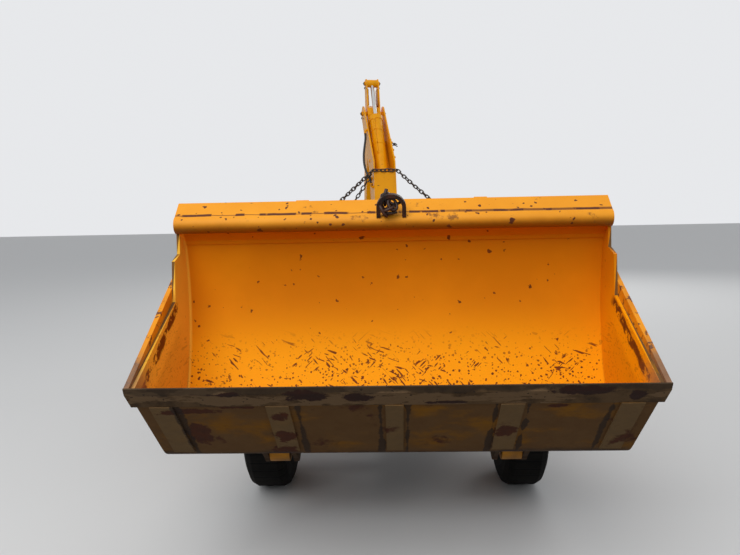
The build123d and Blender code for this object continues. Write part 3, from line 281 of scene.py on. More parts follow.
def mottled(name, dark, light, scale, roughness, metallic=0.0, bumps=0.2, shine=0.5):
    """Surface that goes from a dark to a light tone in clouds."""
    material, place = new_material(name, roughness, metallic, shine)
    colour = lay_over(between(cloud(place, scale, 6.0), 0.3, 0.7), dark, light)
    return coated(material, colour, cloud(place, scale * 4, 5.0) if bumps else None, bumps)


engine_iron = mottled("engine iron", (0.05, 0.04, 0.032), (0.12, 0.09, 0.065), 8.0, 0.75, shine=0.3)
dark_steel = mottled("dark steel", (0.028, 0.024, 0.021), (0.07, 0.055, 0.045), 14.0, 0.6, shine=0.3)
greasy_steel = mottled("greasy steel", (0.008, 0.004, 0.003), (0.050, 0.018, 0.010), 30.0, 0.5, shine=0.35)
chain_steel = mottled("chain steel", (0.022, 0.018, 0.016), (0.085, 0.060, 0.045), 40.0, 0.55, 0.3)
hose_rubber = mottled("hose rubber", (0.012, 0.012, 0.012), (0.03, 0.028, 0.026), 20.0, 0.5, bumps=0.0)
black_plastic = mottled("black plastic", (0.014, 0.014, 0.014), (0.03, 0.03, 0.03), 12.0, 0.45, bumps=0.05)
seat_vinyl = mottled("seat vinyl", (0.016, 0.016, 0.016), (0.040, 0.037, 0.034), 9.0, 0.48)
rusty_iron = mottled("rusty iron", (0.06, 0.025, 0.012), (0.16, 0.07, 0.032), 25.0, 0.85)
rod_chrome = mottled("rod chrome", (0.55, 0.54, 0.52), (0.68, 0.67, 0.65), 6.0, 0.16, 1.0, bumps=0.0)
lamp_glass = mottled("lamp glass", (0.45, 0.45, 0.42), (0.62, 0.62, 0.58), 60.0, 0.12, bumps=0.4)
tooth_steel = mottled("tooth steel", (0.12, 0.10, 0.085), (0.26, 0.23, 0.20), 16.0, 0.45, 0.6)
bolt_steel = mottled("bolt steel", (0.10, 0.07, 0.05), (0.22, 0.18, 0.14), 50.0, 0.5, 0.4)


def tyre_rubber(name, centre, ribs, tread_radius):
    """Dull rubber with fine grooves across the tread, painted darker as painted shade in them, and rings on
    the sidewall.
    """
    material, place = new_material(name, 0.86, shine=0.12)
    y, z = parts_of(moved(place, shift=(0, -centre[0], -centre[1])))[1:]
    reach = calculated("SQRT", y * y + z * z)
    around = calculated("ARCTAN2", z, y) * (ribs / (2 * pi))
    groove = between(calculated("FRACT", around), 0.80, 0.88)
    groove = groove * between(reach, tread_radius - 0.07, tread_radius - 0.05)
    rings = between(calculated("SINE", reach * 330.0), 0.75, 0.95)
    wall = rings * between(reach, tread_radius - 0.08, tread_radius - 0.11)
    fresh = between(cloud(place, 7.0, 6.0), 0.3, 0.7)
    dust = between(cloud(place, 3.0, 6.0), 0.5, 0.8) * 0.5
    # The grooves are only bumps, and their near-black colour is painted shade in them.
    rubber = layered(lay_over(fresh, (0.0045, 0.0042, 0.004), (0.013, 0.0115, 0.010)),
                     (dust, (0.045, 0.036, 0.028)), (groove, (0.002, 0.002, 0.002)))
    return coated(material, rubber, wall * 0.3 + (1.0 - groove), 0.6, 0.006)


front_rubber = tyre_rubber("front tyre rubber", (-2.05, 0.42), 44, 0.42)
rear_rubber = tyre_rubber("rear tyre rubber", (0.0, 0.7), 1, 0.7)
print("metals and rubbers ready")

# %% [markdown]
# ## The bucket's inside
# Inside, the bucket shows its coat of yellow almost whole. It is painted deeper and browner high up
# under the roll, partly as dirt and partly as painted shade under the roll, and bright along the
# floor; it is pocked with chips and long scratches that run the way the load slides. Fine dark specks
# gather along the floor line. The masks use the distance up from the floor, measured along the
# rolled-back axes.

# %% Bucket inside paint


def bucket_inside_paint():
    """Yellow inner coat that deepens with height above the floor, partly as dirt and partly as painted shade
    under the roll, with chips and scratches.
    """
    material, place = new_material("bucket inside paint", 0.62, shine=0.12)
    up = above_floor(place)
    pale = between(cloud(place, 1.7), 0.45, 0.75) * 0.35

    # Chips are few and large, then smaller and closer together near the floor.
    wear = between(cloud(place, 2.6, 6.0), 0.22, 0.50) * between(up, 0.62, 0.40)
    few = specks(place, 10.0, 0.16, 0.6) | specks(place, 24.0, 0.22, 0.4)
    more = specks(place, 36.0, 0.27, 0.8) * wear
    many = specks(place, 70.0, 0.40, 0.95) * wear
    scratches = []
    for lean, finer in ((0.75, 1.0), (-0.85, 1.3), (1.25, 0.9)):
        drawn_out = moved(moved(place, turn=(0, lean, 0)), (16, 2.0, 2.6), shift=(3.1 * finer, 0, 0))
        thin = between(cloud(drawn_out, 6.0 * finer, 1.0, 0.3), 0.668, 0.683)
        gate = between(cloud(moved(place, shift=(lean * 7, 0, 2)), 5.0, 2.0), 0.52, 0.57)
        scratches.append(thin * (gate * between(up, 0.60, 0.50)))
    marks = few | more | (many | reduce(or_, scratches))

    # The side walls are cleaner, but their front edge is torn to rust below the horn.
    wobble = (cloud(place, 14.0, 6.0) - 0.5) * 0.05
    front_line = along_floor(place) * 0.964 - up * 0.265 + wobble
    bar_edge = between(front_line, 0.060, 0.070) * between(front_line, 0.116, 0.104)
    x = parts_of(place)[0]
    on_side = between(abs(x), 0.965, 0.975)
    # The left side wall is given a paler yellow: painted light on that wall.
    left_wall_light = on_side * between(x, 0.0, -0.5)
    torn = between(cloud(moved(place, shift=(2, 0, 1)), 11.0, 8.0, 0.72), 0.44, 0.50)
    torn = torn * between(up, 0.60, 0.55)
    marks = marks * (1.0 - on_side * 0.72) | bar_edge * on_side * torn
    rust = lay_over(cloud(place, 50.0), (0.25, 0.060, 0.003), (0.075, 0.018, 0.004))
    # A dark line low in the inner corners beside the side walls: painted shade in the corners.
    corner_shade = between(abs(x), 0.974, 0.979) * between(up, 0.60, 0.40) * between(front_line, 0.16, 0.20)
    bare = on_side * between(up + wobble, 0.20, 0.02) * between(front_line, 0.16, 0.05)
    # Base colour: bright along the floor and deeper brown-orange high up, the upper part being dirt and
    # painted shade under the roll.
    colour = layered(
        lay_over(between(up, 0.43, 0.74), (0.90, 0.355, 0.0), (0.62, 0.188, 0.0)),
        (pale, (0.88, 0.30, 0.002)), (left_wall_light * 0.9, (0.93, 0.52, 0.05)), (marks, rust),
        (corner_shade * 0.25, (0.30, 0.075, 0.002)), (bare * 0.75, (0.33, 0.16, 0.09)))
    return coated(material, colour, cloud(place, 9.0, 3.0) - marks, 0.12)


inside_paint = bucket_inside_paint()
print("inside coat:", inside_paint.name)

# %% [markdown]
# ## The bucket's outside and underside
# The underside scrapes over gravel, so its paint is mostly gone: grey-brown mud, rust blooms and
# only patches of yellow. The roll and the sloping plate on top are bright and sun-faded, with a rusty
# line along their joint. One recipe with a few numbers covers the underside, another the top.

# %% Bucket outer finishes


def patches_at(place, table):
    """Mask of ragged oval patches, each given as x, along the floor, half width and half height."""
    x, along = parts_of(place)[0], along_floor(place)
    ragged = (cloud(place, 17.0, 8.0, 0.68) - 0.5) * 5.5
    patches = []
    for centre_x, centre_along, across, tall in table:
        sideways, lengthways = (x - centre_x) / across, (along - centre_along) / tall
        patches.append(between(sideways * sideways + lengthways * lengthways + ragged, 1.35, 0.75))
    return reduce(or_, patches)


def bucket_underside_paint():
    """Mud and rust over yellow, with paler wear strips and a dark band along the heel."""
    material, place = new_material("bucket underside", 0.85, shine=0.2)
    x = parts_of(place)[0]
    along = along_floor(place)
    below = above_floor(place)
    paint = lay_over(cloud(place, 3.0), (0.34, 0.145, 0.010), (0.24, 0.10, 0.012))
    mud = lay_over(cloud(place, 12.0, 6.0), (0.122, 0.056, 0.017), (0.190, 0.102, 0.038))
    cover = between(cloud(moved(place, (1, 1.8, 1.8)), 3.4, 7.0, 0.6), 0.32, 0.52)
    tan = lay_over(cloud(place, 16.0, 6.0), (0.15, 0.098, 0.05), (0.26, 0.16, 0.066))
    strips = between(below, -0.0165, -0.0185) * between(along, 0.51, 0.49)
    blooms = between(cloud(moved(place, shift=(3, 1, 0)), 5.0, 5.0, 0.6), 0.60, 0.68)
    patches = patches_at(place, [
        (-0.45, 0.19, 0.035, 0.035), (-0.45, 0.36, 0.045, 0.05), (-0.47, 0.50, 0.06, 0.05),
        (0.45, 0.33, 0.045, 0.045), (-0.80, 0.36, 0.05, 0.09), (-0.80, 0.16, 0.12, 0.02),
        (0.62, 0.14, 0.05, 0.012), (-0.62, 0.13, 0.08, 0.012)])
    rust = lay_over(cloud(place, 30.0), (0.10, 0.026, 0.008), (0.035, 0.014, 0.008))
    waver = (cloud(place, 9.0, 5.0) - 0.5) * 0.06
    lines = [between(abs(x - line_x) + waver, wide, wide * 0.5) for line_x, wide in (
        (-0.375, 0.018), (-0.055, 0.012), (0.052, 0.012), (-0.845, 0.02), (0.39, 0.012), (0.515, 0.010),
        (0.83, 0.015))]
    heel = between(along + (cloud(place, 6.0, 6.0) - 0.5) * 0.16, 0.50, 0.56)
    dark = reduce(or_, lines) * 0.85 | heel * 0.8
    colour = layered(lay_over(cover, paint, mud), (strips * 0.85, tan), (blooms | patches, rust),
                     (dark, (0.022, 0.013, 0.009)))
    return coated(material, colour, cloud(place, 35.0, 6.0), 0.5, 0.004)


def bucket_top_paint():
    """Sun-faded yellow of the roll and spill plate, with rust along their joint, and grime with painted shade
    on the roll's lower half.
    """
    material, place = new_material("bucket top paint", 0.55, shine=0.25)
    x, _, z = parts_of(place)
    up = above_floor(place)
    faded = between(cloud(place, 3.0), 0.3, 0.7)
    # Darker below a height on the roll: partly grime, partly painted shade on the roll's lower half.
    grime_and_shade = between(z + (cloud(place, 22.0, 6.0) - 0.5) * 0.012, 1.577, 1.538)
    line_up = up + (cloud(place, 8.0, 4.0) - 0.5) * 0.012
    line = between(line_up, 0.899, 0.904) * between(line_up, 0.921, 0.915)
    thin_line = between(line_up, 0.905, 0.9075) * between(line_up, 0.9125, 0.910)
    broken = between(cloud(moved(place, (4.0, 1, 1)), 3.0, 3.0), 0.47, 0.52)
    rust_line = line * (broken | between(x, 0.10, 0.40) * 0.8) | thin_line * 0.8
    blooms = between(cloud(place, 9.0, 6.0, 0.65), 0.62, 0.70) * 0.7
    streaky = between(cloud(moved(place, (1, 3, 3)), 13.0, 6.0, 0.7), 0.66, 0.72)
    spots = blooms | (specks(place, 14.0, 0.2, 0.7) | specks(place, 34.0, 0.30, 0.6) | streaky)
    rust = rust_line | spots
    rust_tone = lay_over(cloud(place, 45.0), (0.16, 0.035, 0.006), (0.03, 0.012, 0.006))
    # The brown-orange laid below that height is grime together with painted shade on the roll's lower half.
    colour = layered(lay_over(faded, (0.84, 0.33, 0.012), (0.76, 0.28, 0.008)),
                     (grime_and_shade * 0.92, (0.26, 0.085, 0.001)), (rust, rust_tone))
    return coated(material, colour, rust, 0.3)


def edge_steel_finish():
    """Bare digging edge: grey-brown mud over steel, with dark stains and paler dried patches."""
    material, place = new_material("edge steel", 0.78, shine=0.15)
    muddy = between(cloud(place, 9.0, 8.0, 0.65), 0.38, 0.62)
    dried = between(cloud(moved(place, (1, 3.0, 3.0), shift=(4, 0, 0)), 3.2, 8.0, 0.66), 0.49, 0.53)
    along = along_floor(place)
    lip_shade = between(along + (cloud(place, 7.0, 5.0) - 0.5) * 0.07, 0.034, 0.020)
    stains = patches_at(place, [
        (-0.335, 0.045, 0.085, 0.034), (-0.14, 0.055, 0.065, 0.030), (0.69, 0.028, 0.11, 0.022),
        (-0.62, 0.030, 0.07, 0.014), (0.20, 0.10, 0.07, 0.012), (0.90, 0.06, 0.03, 0.03)])
    stains = stains | between(cloud(moved(place, (1, 3, 3), shift=(0.6, 0, 0)), 2.8, 6.0, 0.62), 0.66, 0.71)
    stain_tone = lay_over(cloud(place, 25.0), (0.042, 0.014, 0.009), (0.016, 0.009, 0.007))
    colour = layered(
        lay_over(muddy, (0.056, 0.031, 0.014), (0.145, 0.086, 0.040)), (dried * 0.85, (0.24, 0.150, 0.078)),
        (lip_shade * 0.75, (0.030, 0.020, 0.013)), (stains, stain_tone),
        (specks(place, 60.0, 0.3, 0.35), (0.028, 0.018, 0.012)))
    return coated(material, colour, cloud(place, 40.0, 6.0), 0.45, 0.003)


def side_bar_paint():
    """Yellow side bar, scratched to rust and bare towards the cutting edge."""
    material, place = new_material("side bar paint", 0.55, shine=0.25)
    faded = between(cloud(place, 4.0), 0.3, 0.7)
    torn = between(cloud(place, 22.0, 6.0, 0.65), 0.56, 0.62)
    up = above_floor(place)
    bare = between(up + (cloud(place, 6.0, 6.0) - 0.5) * 0.25, 0.28, 0.10)
    steel = lay_over(cloud(place, 30.0, 6.0), (0.10, 0.055, 0.035), (0.26, 0.155, 0.10))
    colour = layered(lay_over(faded, (0.84, 0.31, 0.004), (0.66, 0.22, 0.003)),
                     (torn, (0.15, 0.045, 0.012)), (bare * 0.9, steel))
    return coated(material, colour, torn + cloud(place, 30.0), 0.3)


underside_paint = bucket_underside_paint()
top_paint = bucket_top_paint()
edge_steel = edge_steel_finish()
side_paint = side_bar_paint()
print("outer finishes:", underside_paint.name, top_paint.name, edge_steel.name, side_paint.name)

# %% [markdown]
# ## Painting the model's own pieces
# A piece of the model keeps its mesh and takes a finish in its material slots. Most pieces wear one
# finish, given in a table from name to finish. The bucket shell wears three, so each of its faces is
# sorted by where it lies in the bucket's section: on the roll, inside, or outside. The side bars,
# lamps, teeth and rod eyes get a finish of their own in the same way.

# %% Finishes for whole pieces
finish_groups = (
    (front_rubber, "front_tyre"), (rear_rubber, "rear_tyre"), (rim_paint, "front_rim rear_rim"),
    (engine_iron, "engine rear_axle front_axle steering_knuckle"), (rusty_iron, "exhaust"),
    (dark_steel, "radiator tie_rod console seat_pedestal hoe_controls"), (black_plastic, "steering_wheel"),
    (seat_vinyl, "seat"), (edge_steel, "cutting_edge"), (chain_steel, "tie_chain"),
    (greasy_steel, "lifting_eye"),
    (rod_chrome, "lift_rods tilt_rods boom_rod dipper_rod curl_rod stabilizer_rod"),
    (low_paint, "chassis_frame hoe_bucket"), (boom_paint, "boom dipper boom_barrel dipper_barrel"),
    (machine_paint, "loader_towers"),
)
plain_finishes = {name: finish for finish, names in finish_groups for name in names.split()}


def finish_for(name):
    """Finish whose key matches the whole name or its start."""
    if name in plain_finishes:
        return plain_finishes[name]
    stems = [key for key in plain_finishes if name.startswith(key + "_")]
    return plain_finishes[max(stems, key=len)] if stems else machine_paint


for name, piece in nodes.items():
    piece.data.materials.clear()
    piece.data.materials.append(finish_for(name))
print("painted", len(nodes), "pieces")

# %% More than one finish on a piece
back_centre, back_radius = (-0.3371, 0.0024), 1.006
heel_centre, heel_radius, heel_top = (0.5, 0.15), 0.156, 0.176
roll_centre, roll_reach, spill_plate_foot = (0.043, 0.886), 0.046, 0.90
side_plate_x = 0.99
lamp_x, lamp_z, lamp_radius, lamp_front = 0.205, 0.755, 0.058, -2.444
hoe_bucket_pin, teeth_way, teeth_reach = (1.25, 1.35), radians(-120), 0.665


def sort_faces(name, finishes, number_of):
    """Add finishes to a piece, and give each of its faces the number of its own."""
    mesh = nodes[name].data
    for finish in finishes:
        mesh.materials.append(finish)
    for face in mesh.polygons:
        face.material_index = int(number_of(face))
    return mesh


def shell_number(face):
    """0 on the bucket's inside, 1 on its outside, 2 on the roll and the spill plate."""
    spot = face.center - bucket_lip
    along, above = spot.dot(bucket_floor_way), spot.dot(bucket_up_way)
    if hypot(along - roll_centre[0], above - roll_centre[1]) < roll_reach or above > spill_plate_foot:
        return 2
    if abs(face.center.x) > side_plate_x:
        return 1
    if along > heel_centre[0] and above < heel_top:
        return hypot(along - heel_centre[0], above - heel_centre[1]) > heel_radius
    return above < -0.004 or hypot(along - back_centre[0], above - back_centre[1]) > back_radius


def on_lamp(face):
    from_lamp = hypot(abs(face.center.x) - lamp_x, face.center.z - lamp_z)
    return from_lamp < lamp_radius and abs(face.center.y - lamp_front) < 0.002


def on_tooth(face):
    out = (face.center - Vector((0, swing_y, 0))).dot(hoe_out) - hoe_bucket_pin[0]
    return out * cos(teeth_way) + (face.center.z - hoe_bucket_pin[1]) * sin(teeth_way) > teeth_reach


nodes["loader_bucket"].data.materials.clear()
shell = sort_faces("loader_bucket", (inside_paint, underside_paint, top_paint), shell_number)
sort_faces("cutting_edge", (side_paint,), lambda face: (face.center - bucket_lip).dot(bucket_up_way) > 0.02)
sort_faces("grille", (lamp_glass,), on_lamp)
sort_faces("hoe_bucket", (tooth_steel,), on_tooth)


def paint_rod_eye(name, offset, rod_half):
    """Paint the eye of a chrome rod: the faces that reach further sideways than the rod does."""
    points = nodes[name].data.vertices
    sort_faces(name, (boom_paint,),
               lambda face: max(abs(offset(points[k].co)) for k in face.vertices) > rod_half)


paint_rod_eye("lift_rods", lambda p: abs(p.x) - lift_x, 0.026)
paint_rod_eye("tilt_rods", lambda p: abs(p.x) - tilt_x, 0.026)
for name, rod_half in (("boom_rod", 0.029), ("dipper_rod", 0.024), ("curl_rod", 0.022)):
    paint_rod_eye(name, lambda p: (p - Vector((0, swing_y, 0))).dot(hoe_side), rod_half)
for hand in ("left", "right"):
    paint_rod_eye("stabilizer_rod_" + hand, lambda p: p.y - 0.9, 0.021)
numbers = [face.material_index for face in shell.polygons]
print("bucket faces per finish:", [numbers.count(k) for k in range(3)])

# %% [markdown]
# ## Mesh helpers
# Small parts are made the same few ways: a tube along points, a bevelled block, a turned profile, a
# bolt, a chain link. Each helper adds its shape to a mesh under construction, so many small parts
# end up in one joined piece. The first one makes that mesh into a piece that rides on a body.

# %% Mesh helpers


def new_piece(name, body, finish, build, crease=0.6):
    """Piece that rides on a body, with its mesh shaped by a building function."""
    mesh = bpy.data.meshes.new(name)
    piece = bpy.data.objects.new(name, mesh)
    bpy.context.scene.collection.objects.link(piece)
    bm = bmesh.new()
    build(bm)
    bmesh.ops.recalc_face_normals(bm, faces=bm.faces[:])
    for face in bm.faces:
        face.smooth = True
    for edge in bm.edges:
        edge.smooth = edge.calc_face_angle(0.0) < crease
    bm.to_mesh(mesh)
    bm.free()
    mesh.materials.append(finish)
    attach(piece, body)
    return piece


def edges_of(verts):
    """Edges at the given points, each once and in a steady order."""
    return list(dict.fromkeys(edge for vert in verts for edge in vert.link_edges))


def ring_of(bm, centre, way, radius, sides):
    """Edges of a circle around a centre, facing along a way."""
    turn = Vector((0, 0, 1)).rotation_difference(Vector(way)).to_matrix().to_4x4()
    made = bmesh.ops.create_circle(bm, cap_ends=False, segments=sides, radius=radius,
                                   matrix=Matrix.Translation(centre) @ turn)["verts"]
    return edges_of(made)


def pulled(bm, rim, shift):
    """Rim extruded from a rim and shifted: its new points and its new edges."""
    made = bmesh.ops.extrude_edge_only(bm, edges=rim)["geom"]
    verts = [part for part in made if isinstance(part, bmesh.types.BMVert)]
    edges = [part for part in made if isinstance(part, bmesh.types.BMEdge) and part.is_boundary]
    bmesh.ops.translate(bm, verts=verts, vec=shift)
    return verts, edges


def tube(bm, points, radius, sides=10):
    """Round tube along points, closed at both ends."""
    points = [Vector(p) for p in points]
    way = (points[1] - points[0]).normalized()
    rim = ring_of(bm, points[0], way, radius, sides)
    bmesh.ops.contextual_create(bm, geom=rim)
    for k in range(1, len(points)):
        onward = points[min(k + 1, len(points) - 1)]
        new_way = (onward - points[k - 1]).normalized()
        verts, rim = pulled(bm, rim, points[k] - points[k - 1])
        bmesh.ops.rotate(bm, verts=verts, cent=points[k], matrix=way.rotation_difference(new_way).to_matrix())
        way = new_way
    bmesh.ops.contextual_create(bm, geom=rim)


def bent(points, radius, steps=5):
    """Points of a bent pipe: straight runs with round corners."""
    points = [Vector(p) for p in points]
    path = [points[0]]
    for before, corner, after in zip(points, points[1:], points[2:]):
        start = corner + (before - corner).normalized() * min(radius, (before - corner).length * 0.45)
        end = corner + (after - corner).normalized() * min(radius, (after - corner).length * 0.45)
        for k in range(steps + 1):
            share = k / steps
            path.append(start.lerp(corner, share).lerp(corner.lerp(end, share), share))
    path.append(points[-1])
    return path


def turned_profile(bm, centre, way, profile, sides=24):
    """Turned solid: its profile lists (distance along the way, radius) and its ends are closed."""
    centre, way = Vector(centre), Vector(way).normalized()
    rim = ring_of(bm, centre + way * profile[0][0], way, profile[0][1], sides)
    bmesh.ops.contextual_create(bm, geom=rim)
    for (before, old_radius), (along, radius) in zip(profile, profile[1:]):
        verts, rim = pulled(bm, rim, way * (along - before))
        bmesh.ops.scale(bm, verts=verts, vec=(radius / old_radius,) * 3,
                        space=Matrix.Translation(-(centre + way * along)))
    bmesh.ops.contextual_create(bm, geom=rim)


def ring_band(bm, centre, way, inner, outer, width, sides=32):
    """Flat ring with a hole, around an axis."""
    centre, way = Vector(centre), Vector(way).normalized()
    out = way.orthogonal().normalized()
    corners = ((inner, 0), (outer, 0), (outer, width), (inner, width))
    verts = [bm.verts.new(centre + out * radius + way * along) for radius, along in corners]
    edges = [bm.edges.new((verts[k], verts[(k + 1) % 4])) for k in range(4)]
    bmesh.ops.spin(bm, geom=verts + edges, cent=centre, axis=way, angle=2 * pi, steps=sides, use_merge=True)


def bevelled_block(bm, low, high, bevel, axes=None, segments=2):
    """Block with rounded edges between two corners, along given axes if they are named."""
    low, high = Vector(low), Vector(high)
    middle, size = (low + high) / 2, high - low
    made = bmesh.ops.create_cube(bm, size=1.0)["verts"]
    for vert in made:
        vert.co = Vector((vert.co.x * size.x, vert.co.y * size.y, vert.co.z * size.z))
    rounded = bmesh.ops.bevel(bm, geom=edges_of(made), offset=bevel, offset_type="OFFSET", segments=segments,
                              profile=0.5, affect="EDGES", material=-1)["verts"]
    for vert in dict.fromkeys(vert for vert in rounded if vert.is_valid):
        vert.co = axes @ vert.co + middle if axes else vert.co + middle


def bolt(bm, place, way, across=0.024, thick=0.014):
    """Hexagon head on its washer, facing along a way."""
    washer, corner, flat = across * 0.78, across * 0.57, across * 0.47
    turned_profile(bm, place, way, [(0, washer), (0.003, washer), (0.003, across * 0.5)], 16)
    turned_profile(bm, place, way, [(0.002, corner), (thick * 0.85, corner), (thick, flat)], 6)


def chain_link(bm, centre, way, across, pitch, bar, sides=6, turns=5):
    """Oval link of round bar: a bend, a straight run, a second bend and a bridge back to the start."""
    normal = way.cross(across)
    end_radius = 1.2 * bar
    straight = (pitch + bar) / 2 - end_radius
    first = ring_of(bm, centre + way * straight + across * end_radius, way, bar / 2, sides)
    rim = first
    for half in (1, -1):
        verts = list(dict.fromkeys(vert for edge in rim for vert in edge.verts))
        made = bmesh.ops.spin(bm, geom=verts + rim, cent=centre + way * straight * half, axis=-normal,
                              angle=pi, steps=turns)["geom_last"]
        rim = [part for part in made if isinstance(part, bmesh.types.BMEdge)]
        if half == 1:
            rim = pulled(bm, rim, way * -2 * straight)[1]
    bmesh.ops.bridge_loops(bm, edges=first + rim)


def chain_run(bm, start, end, sag=0.0, pitch=0.044, bar=0.014):
    """Hanging run of links, each turned a quarter from the one before."""
    start, end = Vector(start), Vector(end)
    span = (end - start).length
    count = max(2, round(span * (1 + 2.7 * (sag / span) ** 2) / pitch))
    for k in range(count):
        share = (k + 0.5) / count
        spot = start.lerp(end, share) - Vector((0, 0, 4 * sag * share * (1 - share)))
        way = (end - start - Vector((0, 0, 4 * sag * (1 - 2 * share)))).normalized()
        side = way.cross(Vector((0, 0, 1)))
        side = side.normalized() if side.length > 0.1 else way.orthogonal().normalized()
        twist = Matrix.Rotation(0.8 + k * pi / 2 + 0.22 * sin(1.7 * k), 3, way)
        chain_link(bm, spot, way, (twist @ side).normalized(), pitch, bar)


print("mesh helpers ready")

# %% [markdown]
# ## The chain on the boom
# In the photograph a chain crosses the front of the boom and runs down on both sides to the raised
# stabilizer legs. It is doubled on one side, and the second strand hangs slacker. Every link is a
# real oval, turned a quarter from its neighbour, and each strand ends in a hook around the leg's tip.

# %% Chain from the boom to the stabilizer legs
chain_place = {side: on_hoe(side * 0.1375, 0.2945, 2.0735) for side in (-1, 1)}
leg_tips = {side: Vector((side * 1.0400, 0.9515, 1.2502)) for side in (-1, 1)}


def build_boom_chain(bm):
    above_tip = Vector((0, 0, 0.03))
    second_start = chain_place[-1] + Vector((-0.015, 0.01, -0.03))
    chain_run(bm, chain_place[-1], chain_place[1])
    chain_run(bm, chain_place[-1], leg_tips[-1] + above_tip, 0.01)
    chain_run(bm, second_start, leg_tips[-1] + Vector((0.02, 0.0, 0.05)), 0.19)
    chain_run(bm, chain_place[1], leg_tips[1] + above_tip, 0.05)
    bend = [(0.034 * cos(radians(a)), 0.0, 0.034 * sin(radians(a)) - 0.012) for a in range(120, 421, 20)]
    for tip in leg_tips.values():
        tube(bm, [tip + Vector(spot) for spot in bend], 0.010, 8)
        turned_profile(bm, tip + Vector((0, -0.012, 0.028)), (0, 1, 0),
                       [(0, 0.010), (0.002, 0.014), (0.022, 0.014), (0.024, 0.010)], 12)


boom_chain = new_piece("boom_chain", "boom", chain_steel, build_boom_chain, 1.2)
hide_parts("tie_chain")
print("chain links:", len(boom_chain.data.polygons) // 72)

# %% [markdown]
# ## The hook in the lifting eye
# A short end of greasy chain is bundled through the eye on the bucket, with the nose of a grab hook
# standing up behind it. The links lie every way, because they were dropped there and not pulled.

# %% Hook and chain end in the eye
eye_middle = Vector((0, -2.957, 1.632))


def build_eye_bundle(bm):
    table = (  # x, forward, up, way, across
        (-0.030, 0.000, 0.004, (0.2, 0.1, 1.0), (1, 0, 0)),
        (-0.012, -0.012, -0.012, (0.9, 0.2, 0.4), (0, 1, 0.2)),
        (-0.020, 0.014, 0.030, (0.3, -0.4, 1.0), (0.2, 1, 0.3)),
        (0.006, -0.014, 0.006, (-0.4, 0.2, 1.0), (1, 0.3, 0)),
        (0.018, 0.004, 0.026, (1.0, 0.3, 0.1), (0, 0.3, 1)),
        (-0.034, -0.010, -0.022, (0.5, 0.1, -0.9), (0.3, 1, 0)),
        (-0.006, 0.008, -0.034, (1.0, -0.2, 0.2), (0, 1, 0)),
    )
    for x, forward, up, way, across in table:
        way, across = Vector(way).normalized(), Vector(across)
        across = (across - way * across.dot(way)).normalized()
        chain_link(bm, eye_middle + Vector((x, forward, up)), way, across, 0.040, 0.015)
    nose = [Vector(p) + eye_middle for p in (
        (-0.014, 0.012, -0.036), (-0.040, 0.004, -0.026), (-0.047, -0.004, 0.004), (-0.034, -0.008, 0.034),
        (-0.024, -0.006, 0.058), (-0.020, 0.000, 0.074))]
    tube(bm, bent(nose, 0.02), 0.0085, 8)
    turned_profile(bm, eye_middle + Vector((-0.034, 0.0, 0.045)), (0.2, -1, 0.1),
                   [(-0.016, 0.009), (-0.014, 0.013), (0.014, 0.013), (0.016, 0.009)], 12)


eye_bundle = new_piece("eye_hook", "loader_bucket", greasy_steel, build_eye_bundle, 1.2)
print("hook faces:", len(eye_bundle.data.polygons))

# %% [markdown]
# ## Pipes along the cylinders
# Each hydraulic barrel is fed at both ends. The port near the base opens straight into the barrel;
# the far one is reached by a steel pipe laid along the barrel, between two welded port blocks. Each
# pipe is given by its barrel's pin, the pin it pushes, the side it lies on and the barrel's radius.

# %% Barrel pipes


def build_barrel_pipe(bm, base, eye, side_way, radius, near, far):
    """Steel pipe along one barrel between two port blocks, held by two bands."""
    base, eye, side = Vector(base), Vector(eye), Vector(side_way)
    way = (eye - base).normalized()
    side = (side - way * side.dot(way)).normalized()
    lift = side * (radius + 0.017)
    foot_low, foot_high = (base + way * along + side * (radius - 0.004) for along in (near, far))
    corner_low, corner_high = (base + way * along + lift for along in (near, far))
    tube(bm, bent([foot_low, corner_low, corner_high, foot_high], 0.015), 0.0075, 10)
    for along in (near, far):
        turned_profile(bm, base + way * along + side * (radius - 0.006), side,
                       [(0, 0.017), (0.010, 0.017), (0.013, 0.013), (0.016, 0.013)], 6)
    for share in (0.3, 0.7):
        clip = corner_low.lerp(corner_high, share) - way * 0.009
        turned_profile(bm, clip, way, [(0, 0.012), (0.018, 0.012)], 10)
    for share in (0.3, 0.7):
        foot = base + way * (near + (far - near) * share)
        ring_band(bm, foot - way * 0.008, way, radius + 0.0003, radius + 0.004, 0.016)


def build_pipe_pair(bm, x, base, eye, side_way, radius, far):
    """The same pipe on the left and the right barrel of a pair."""
    for side in (-1, 1):
        build_barrel_pipe(bm, (side * x, *base), (side * x, *eye), side_way, radius, 0.12, far)


new_piece("lift_barrel_pipes", "lift_barrels", machine_paint, lambda bm: build_pipe_pair(
    bm, lift_x, (-0.870, 0.545), (-1.950, 1.105), (0, 0.5, -1), 0.052, 0.90))
new_piece("tilt_barrel_pipes", "tilt_barrels", machine_paint, lambda bm: build_pipe_pair(
    bm, tilt_x, (-1.800, 1.400), (-2.7595, 0.887), (0, 0.4, 1), 0.045, 0.80))
new_piece("dipper_barrel_pipe", "dipper_barrel", boom_paint, lambda bm: build_barrel_pipe(
    bm, on_hoe(0, 0.430, 1.990), on_hoe(0, 1.000, 3.141), -hoe_out - 0.45 * hoe_side, 0.072, 0.30, 0.75))
print("barrel pipes on 3 bodies")

# %% [markdown]
# ## Hose and fittings beside the boom
# A black hose bows out on the left of the boom, from a steel elbow on the upper half to another
# below the knee, and a bracket and clamps stand on the right edge. The hose is a free cord: a smooth
# spline through a few control points, with a real length and thickness, so its curve stays even.

